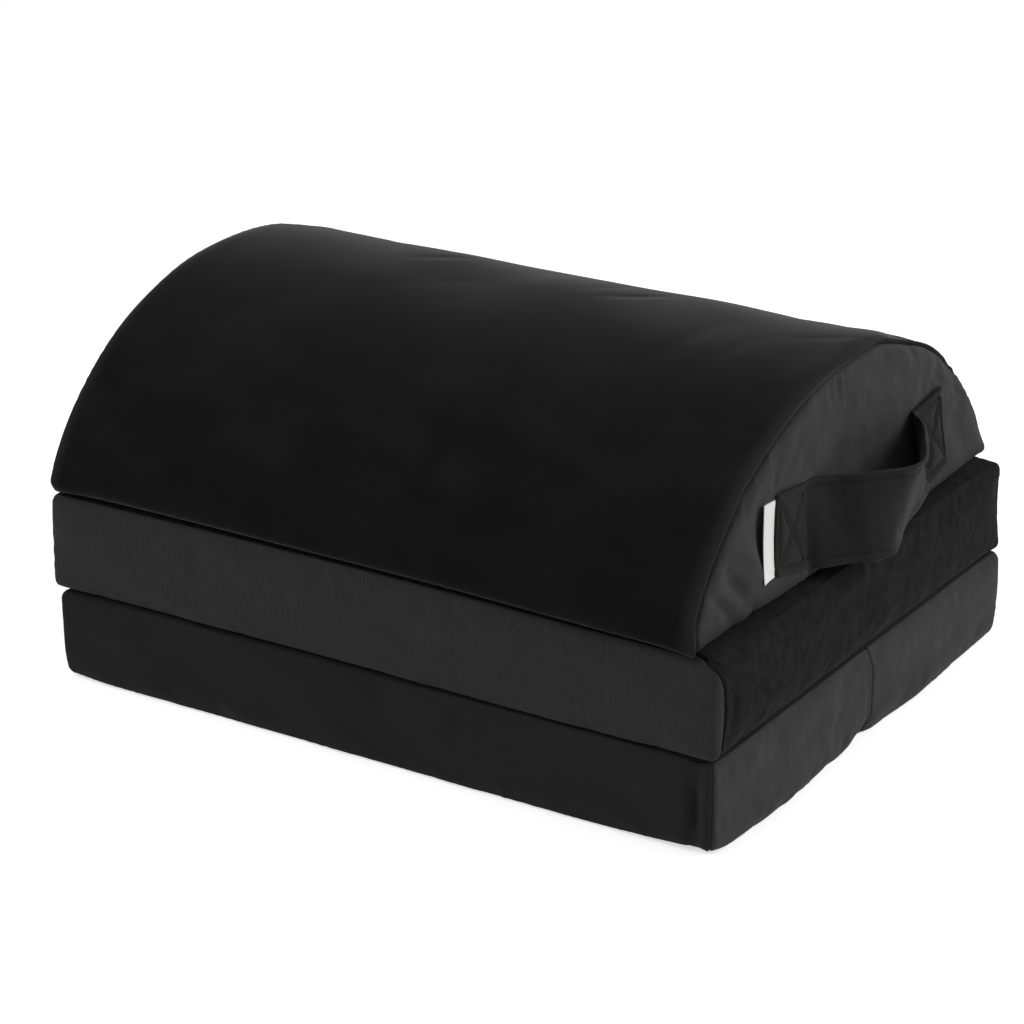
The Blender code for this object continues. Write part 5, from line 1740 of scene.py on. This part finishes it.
def slider_parts():
    """Slider: two plates narrowed towards the closed side, a post and a bridge.

    Local x runs along the zip, y across it and z out of the cover, in metres.
    """
    outline = round_corners(6.0 * MM, 4.8 * MM, 3.2)
    narrow = 1 - 0.2 * np.clip(outline[:, :1] / (6 * MM), 0, 1) ** 1.5
    outline = outline * np.concatenate([np.ones_like(narrow), narrow], 1)
    lower = pillow_plate(outline, 0.3 * MM, 1.3 * MM, 0.5 * MM)
    upper = pillow_plate(outline * 0.97, 2.7 * MM, 4.1 * MM, 0.7 * MM)
    post = pillow_plate(round_corners(1.6 * MM, 1.1 * MM, 2.0, 16) - (3.6 * MM, 0), 1.0 * MM,
                        3.0 * MM, 0.1 * MM)
    flanges = [pillow_plate(round_corners(4.6 * MM, 0.5 * MM, 4.0, 24) + (0, side * 3.9 * MM),
                            2.0 * MM, 3.2 * MM, 0.2 * MM) for side in (-1, 1)]
    turn_of_arch = np.linspace(0, math.pi, 17)
    path = np.stack([3.2 * MM * np.sign(np.cos(turn_of_arch)) * np.abs(np.cos(turn_of_arch)) ** 0.6,
                     np.zeros(17), 3.6 * MM + 2.2 * MM * np.sin(turn_of_arch) ** 0.7], 1)
    tangent = unit(np.gradient(path, axis=0))
    out = np.cross(tangent, (0.0, 1.0, 0.0))
    around = round_corners(0.95 * MM, 0.45 * MM, 3.0, 12)
    around = np.concatenate([around, around[:1]])
    bar = (path[:, None] + around[None, :, :1] * np.array((0.0, 1.0, 0.0))
           + around[None, :, 1:] * out[:, None])
    ends = [np.broadcast_to(bar[k].mean(0), bar[k].shape)[None] for k in (0, -1)]
    bar = np.concatenate([ends[0], bar, ends[1]])
    return gather_parts([lower, upper, post, *flanges, as_grid(bar)])


def pull_parts():
    """Pull tab that hangs on the bridge: an eye, a waist and a ribbed grip."""
    outline = round_corners(13.5 * MM, 3.0 * MM, 4.5, 72)
    outline[:, 0] -= 13.0 * MM
    angle = np.arctan2(outline[:, 1], outline[:, 0] + 1.9 * MM)
    outline[:, 1] *= 1 - 0.26 * bell(outline[:, 0] + 7.5 * MM, 3 * MM)
    hole = np.stack([1.55 * MM * np.cos(angle) - 1.9 * MM, 1.75 * MM * np.sin(angle)], 1)

    def recess(places):
        x, y = places[:, 0] + 17 * MM, places[:, 1]
        field = np.clip(1.15 - ((x / (7.5 * MM)) ** 4 + (y / (2.1 * MM)) ** 4), 0, 0.2) / 0.2
        return field * MM * (0.2 - 0.12 * (np.cos(x / (1.5 * MM) * 2 * math.pi) > 0.3))

    return holed_plate(outline, hole, 0.5 * MM, 0.4 * MM, recess)


def placed(parts, origin, along, across, out):
    vertices, quads = parts
    return vertices @ np.stack([along, across, out]) + origin, quads


def add_zip(prefix, middle, height, direction):
    """Tapes, coil, sewing, slider and pull of one zip.

    Its middle is given by distance along the cover and up it; the direction is +1
    where the distance along grows with X.
    """
    owner = layer(prefix)
    surface, body = owner.swollen, owner.body
    sizes = owner.settings.zip
    stem = prefix.replace("cushion", "dome")
    along = even(sizes.length - 1 * MM, 4 * MM) + middle - sizes.length / 2 + 0.5 * MM
    solids, maps = [], []
    for side in (-1, 1):
        up = np.linspace(0.25 * MM, sizes.opening / 2 + 3.5 * MM, 8)
        a, u = np.meshgrid(along, up if side > 0 else -up[::-1])
        points, normals = surface(a, height + u)
        solids.append(shell(points - normals * 0.15 * MM, normals, sizes.tape_thickness))
        maps += [np.stack([a, u], -1).reshape(-1, 2)] * 2
    mesh = quad_mesh(f"{prefix}_zip_tapes", *gather_parts(solids), np.concatenate(maps))
    add_piece(f"{prefix}_zip_tapes", mesh, "tape", body, (f"{stem}_zip_tape",))

    count = int((sizes.length - 6 * MM) / sizes.coil_pitch)
    places = middle + (np.arange(count) - (count - 1) / 2) * sizes.coil_pitch
    parts = []
    for side, shift in ((-1, 0.0), (1, sizes.coil_pitch / 2)):
        points, normals = surface(places[None] + shift, np.array(((height,), (height + 1 * MM,))))
        across = unit(points[1] - points[0]) * side
        way = np.cross(across, normals[0])
        origins = points[0] + normals[0] * 0.35 * MM + across * sizes.coil_width * 0.2
        parts.append(scatter(*BALL, origins, across * sizes.coil_width * 0.3,
                             way * sizes.coil_pitch * 0.42, normals[0] * sizes.coil_height / 2))
    mesh = quad_mesh(f"{prefix}_zip_coil", *gather_parts(parts))
    add_piece(f"{prefix}_zip_coil", mesh, "coil", body)

    parts = []
    half = sizes.length / 2 + sizes.stitch_inset
    line = even(2 * half, 3 * MM) + middle - half
    rise = height + even(sizes.opening + 2 * sizes.stitch_inset, 3 * MM) - sizes.opening / 2
    for edge in (-1, 1):
        level = height + edge * (sizes.opening / 2 + sizes.stitch_inset)
        for along, up in ((line, np.full_like(line, level)),
                          (np.full_like(rise, middle + edge * half), rise - sizes.stitch_inset)):
            points, normals = surface(along, up)
            parts.append(sewing(points - normals * 0.28 * MM, normals))
    mesh = quad_mesh(f"{prefix}_zip_thread", *gather_parts(parts))
    add_piece(f"{prefix}_zip_thread", mesh, "thread", body)

    low, high = (np.array(corner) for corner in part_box(f"{stem}_zip_slider"))
    spot = middle + direction * ((low[0] + high[0]) / 2 - owner.centre_x)
    points, normals = surface(np.array((spot,)), np.array((height,)))
    out = unit(normals[0] * (0, 1, 1))
    way = np.array((1.0, 0.0, 0.0))
    for kind, shape, part, lift in (("slider", "slider_body", slider_parts(), 0.0),
                                    ("pull", "pull_tab", pull_parts(), 4.75 * MM)):
        solid = placed(part, points[0] + out * lift, way, np.cross(out, way), out)
        mesh = welded(quad_mesh(f"{prefix}_{kind}", *solid))
        add_piece(f"{prefix}_{shape}", mesh, "metal", f"{stem}_{kind}",
                  (f"{stem}_zip_{kind}",))


class FOOTREST_OT_zips(bpy.types.Operator):
    """A coil zip low on the rear of each of the three covers"""
    bl_idname = "footrest.zips"
    bl_label = "Zips"

    def execute(self, context):
        for prefix in ("base", "middle"):
            add_zip(prefix, *layer(prefix).zip_line(), -1)
        cushion = layer("cushion")
        add_zip("cushion", cushion.length / 2, cushion.zip_over(), 1)
        return {"FINISHED"}


# Hook and loop strips, and the rubber dots


class FOOTREST_OT_tapes(bpy.types.Operator):
    """Hook strips under the upper layers and loop strips on the lower ones"""
    bl_idname = "footrest.tapes"
    bl_label = "Hook and Loop Strips"

    def execute(self, context):
        sizes = context.scene.footrest.tape
        for node in sorted(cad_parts):
            if "_strip_" in node:
                self.strip(sizes, node)
        return {"FINISHED"}

    def strip(self, sizes, node):
        """One strip: a woven tape, and on it a field of hooks or of brushed loops."""
        low, high = (np.array(corner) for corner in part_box(node))
        hooked = "_hook_" in node
        out = -1.0 if hooked else 1.0
        ground = high[2] if hooked else low[2]
        body = "top_cushion" if node.startswith("dome") else node.split("_")[0] + "_pad"
        step = 2.5 * MM if hooked else sizes.pile_step
        wide, long = high[0] - low[0], high[1] - low[1]
        a, b = np.meshgrid(graded(wide, step), graded(long, step * 1.6))
        inside = np.minimum(to_nearer_end(a, wide), to_nearer_end(b, long)) - sizes.selvedge
        level = 0.35 * MM + 0.1 * MM * np.clip(inside / (0.5 * MM), -1, 0)
        level = level - 0.12 * MM * bell(inside + sizes.selvedge / 2, 0.35 * MM)
        if not hooked:
            pile = 0.6 + 0.4 * wander(len(node), 2.4 * MM, a, b)
            level = level + sizes.pile_height * np.clip(inside / (0.8 * MM), 0, 1) * pile
        points = np.stack([low[0] + a, low[1] + b, ground + out * level], -1)
        up = np.array((0.0, 0.0, out))
        normals = np.broadcast_to(up, points.shape)
        mesh = sheet_mesh(f"{node}_tape", points, normals, level, (a, b))
        add_piece(f"{node}_tape", mesh, "tape" if hooked else "pile", body, (node,))
        parts = []
        for edge in (low[0] + sizes.selvedge / 2, high[0] - sizes.selvedge / 2):
            line = even(long - 2 * sizes.selvedge, 4 * MM) + low[1] + sizes.selvedge
            row = np.stack([np.full_like(line, edge), line,
                            np.full_like(line, ground + out * 0.2 * MM)], 1)
            parts.append(stitches(row, np.broadcast_to(up, row.shape), *STRIP_SEWING))
        add_piece(f"{node}_thread", quad_mesh(f"{node}_thread", *gather_parts(parts)), "thread",
                  body)
        if not hooked:
            return
        pitch = sizes.hook_pitch
        x, y = (np.arange(low[k] + sizes.selvedge + 0.8 * MM, high[k] - sizes.selvedge - 0.6 * MM, step)
                for k, step in enumerate((pitch * 0.7, pitch)))
        gx, gy = np.meshgrid(x, y)
        gy = gy + (np.arange(len(x)) % 2) * pitch / 2
        spots = np.stack([gx.ravel(), gy.ravel(), np.full(gx.size, ground + out * 0.33 * MM)], 1)
        sides = [np.tile(way, (len(spots), 1)) for way in
                 ((0.0, 0.28 * MM, 0.0), (0.28 * MM, 0.0, 0.0), up * sizes.hook_height)]
        mesh = quad_mesh(f"{node}_hooks", *scatter(*hook_shape(), spots, *sides))
        add_piece(f"{node}_hooks", mesh, "hooks", body)


def hook_shape():
    """A stem that bends over: four-sided rings along a bent line, closed at both ends."""
    turns = np.radians(np.linspace(0, 150, 5))
    path = np.stack([1.3 * (1 - np.cos(turns)), np.zeros(5), 0.45 + 0.5 * np.sin(turns)], 1)
    path = np.concatenate([[[0.0, 0.0, -0.1]], path])
    tangent = unit(np.gradient(path, axis=0))
    out = np.cross(tangent, (0.0, 1.0, 0.0))
    ring = np.array(((1, 0), (0, 1), (-1, 0), (0, -1)))
    size = np.array((0.9, 0.7, 0.6, 0.55, 0.5, 0.35))[:, None, None]
    rings = path[:, None] + size * (ring[None, :, :1] * np.array((0.0, 0.8, 0.0))
                                    + ring[None, :, 1:] * out[:, None] * 0.35)
    index = np.arange(24).reshape(6, 4)
    after = np.roll(index, -1, 1)
    quads = np.stack([index[:-1], after[:-1], after[1:], index[1:]], -1).reshape(-1, 4)
    quads = np.concatenate([quads, index[:1, ::-1], index[-1:]])
    return rings.reshape(-1, 3), quads


class FOOTREST_OT_dots(bpy.types.Operator):
    """Rubber dots that keep the base pad from sliding"""
    bl_idname = "footrest.dots"
    bl_label = "Rubber Dots"

    def execute(self, context):
        sizes = context.scene.footrest.dots
        pad = layer("base")
        ground = pad.low - pad.radius
        x = np.arange(-pad.half[0] + 6 * MM, pad.half[0] - 5 * MM, sizes.pitch)
        y = np.arange(-pad.half[1] + 6 * MM, pad.half[1] - 5 * MM, sizes.pitch * math.sqrt(3) / 2)
        gx, gy = np.meshgrid(x + pad.shift[0], y + pad.shift[1])
        gx = gx + (np.arange(len(y)) % 2)[:, None] * sizes.pitch / 2
        spots = np.stack([gx.ravel(), gy.ravel(), np.full(gx.size, ground + sizes.height)], 1)
        spots = nudged(spots[spots[:, 0] < pad.half[0] + pad.shift[0] - 4 * MM], pad.nudges)
        size = np.eye(3) * (sizes.radius, sizes.radius, sizes.height)
        sides = [np.tile(row, (len(spots), 1)) for row in size]
        mesh = quad_mesh("rubber_dots", *scatter(*BALL, spots, *sides), sharp_degrees=60)
        add_piece("rubber_dots", mesh, "rubber", pad.body)
        return {"FINISHED"}


# Stage


LAMP_AIM = (0.0, 0.0, 0.1)

# From a fit of the camera to the edges of the photographed footrest
CAMERA_PLACE = (0.9000, -1.4448, 0.7629)
CAMERA_FORWARD = (-0.4978, 0.7852, -0.3683)


def seen_directly(tree):
    """1 for what the camera sees, itself or through a reflection or a clear piece."""
    rays = add_node(tree, "LightPath").node.outputs
    seen = (rays["Is Camera Ray"], rays["Is Glossy Ray"])
    seen = add_node(tree, "Math", seen, operation="MAXIMUM")
    return add_node(tree, "Math", (seen, rays["Is Transmission Ray"]), operation="MAXIMUM")


class FOOTREST_OT_stage(bpy.types.Operator):
    """Pale floor, soft studio lamps and the camera at the photograph's angle"""
    bl_idname = "footrest.stage"
    bl_label = "Stage"

    def execute(self, context):
        scene = context.scene
        settings = scene.footrest.stage
        floor_mesh = bpy.data.meshes.new("studio_floor")
        edge = 8.0
        corners = [(x * edge, y * edge, 0) for x, y in ((-1, -1), (1, -1), (1, 1), (-1, 1))]
        floor_mesh.from_pydata(corners, [], [(0, 1, 2, 3)])
        floor = link_object("studio_floor", floor_mesh)
        floor_mesh.materials.append(self.paper(tuple(scene.footrest.colours.floor), settings.glow))

        world = bpy.data.worlds.new("studio_air")
        scene.world = world
        world.use_nodes = True
        tree = world.node_tree
        tree.nodes.clear()
        strength = add_node(tree, "Mix", {0: seen_directly(tree), 2: settings.world, 3: 1.0})
        air = add_node(tree, "Background", {"Color": (1, 1, 1, 1), "Strength": strength})
        tree.links.new(air, tree.nodes.new("ShaderNodeOutputWorld").inputs["Surface"])

        lamps = (
            ("key_softbox", settings.key, 1.3, (1.85, 0.8, 1.2)),
            ("top_softbox", settings.top, 1.8, (-0.2, 0.3, 2.2)),
            ("fill_softbox", settings.fill, 1.4, (-0.6, -1.55, 1.7)),
        )
        for name, watts, width, spot in lamps:
            light = bpy.data.lights.new(name, "AREA")
            light.shape, light.size, light.energy = "SQUARE", width, watts
            lamp = link_object(name, light)
            lamp.matrix_world = looking(spot, np.subtract(LAMP_AIM, spot))

        camera_data = bpy.data.cameras.new("photo_camera")
        camera_data.lens = settings.lens
        camera_data.sensor_width = 36.0
        camera = link_object("photo_camera", camera_data)
        camera.matrix_world = looking(CAMERA_PLACE, CAMERA_FORWARD)
        scene.camera = camera
        scene.view_settings.view_transform = "Standard"
        return {"FINISHED"}

    def paper(self, base, glow):
        """White studio paper; what looks at it sees it a little lighter than it is lit."""
        made, tree, shader = fresh_material("studio_paper", base, 0.9, {
            "Specular IOR Level": 0.1, "Emission Color": (1, 1, 1, 1)})
        glow = add_node(tree, "Math", (seen_directly(tree), glow), operation="MULTIPLY")
        tree.links.new(glow, shader.inputs["Emission Strength"])
        return made


def looking(spot, way):
    """Matrix of a camera or lamp at a spot that looks along a way, with Z up."""
    way = unit(np.array(way, float))
    right = unit(np.cross(way, (0.0, 0.0, 1.0)))
    above = np.cross(right, way)
    made = Matrix.Identity(4)
    for k in range(3):
        made[k][0], made[k][1], made[k][2], made[k][3] = right[k], above[k], -way[k], spot[k]
    return made


class FOOTREST_PT_panel(bpy.types.Panel):
    """Lists the footrest's operators as buttons in the sidebar"""
    bl_idname = "FOOTREST_PT_panel"
    bl_label = "Foam Footrest"
    bl_space_type = "VIEW_3D"
    bl_region_type = "UI"
    bl_category = "Footrest"

    def draw(self, context):
        for operator in OPERATORS:
            self.layout.operator(operator.bl_idname)


GROUPS = (PadSizes, CushionSizes, CoverSizes, StrapSizes, LabelSizes, ZipSizes, TapeSizes, DotSizes,
          FinishColours, StageSettings, FootrestSettings)
OPERATORS = (FOOTREST_OT_stage, FOOTREST_OT_base_cover, FOOTREST_OT_middle_cover,
             FOOTREST_OT_cushion_cover, FOOTREST_OT_foams, FOOTREST_OT_strap, FOOTREST_OT_label,
             FOOTREST_OT_zips, FOOTREST_OT_tapes, FOOTREST_OT_dots)


def register():
    for made in (*GROUPS, *OPERATORS, FOOTREST_PT_panel):
        bpy.utils.register_class(made)
    bpy.types.Scene.footrest = PointerProperty(type=FootrestSettings)


def unregister():
    del bpy.types.Scene.footrest
    for made in reversed((*GROUPS, *OPERATORS, FOOTREST_PT_panel)):
        bpy.utils.unregister_class(made)


def main():
    register()
    for operator in OPERATORS:
        group, name = operator.bl_idname.split(".")
        getattr(getattr(bpy.ops, group), name)()


if __name__ == "__main__":
    main()
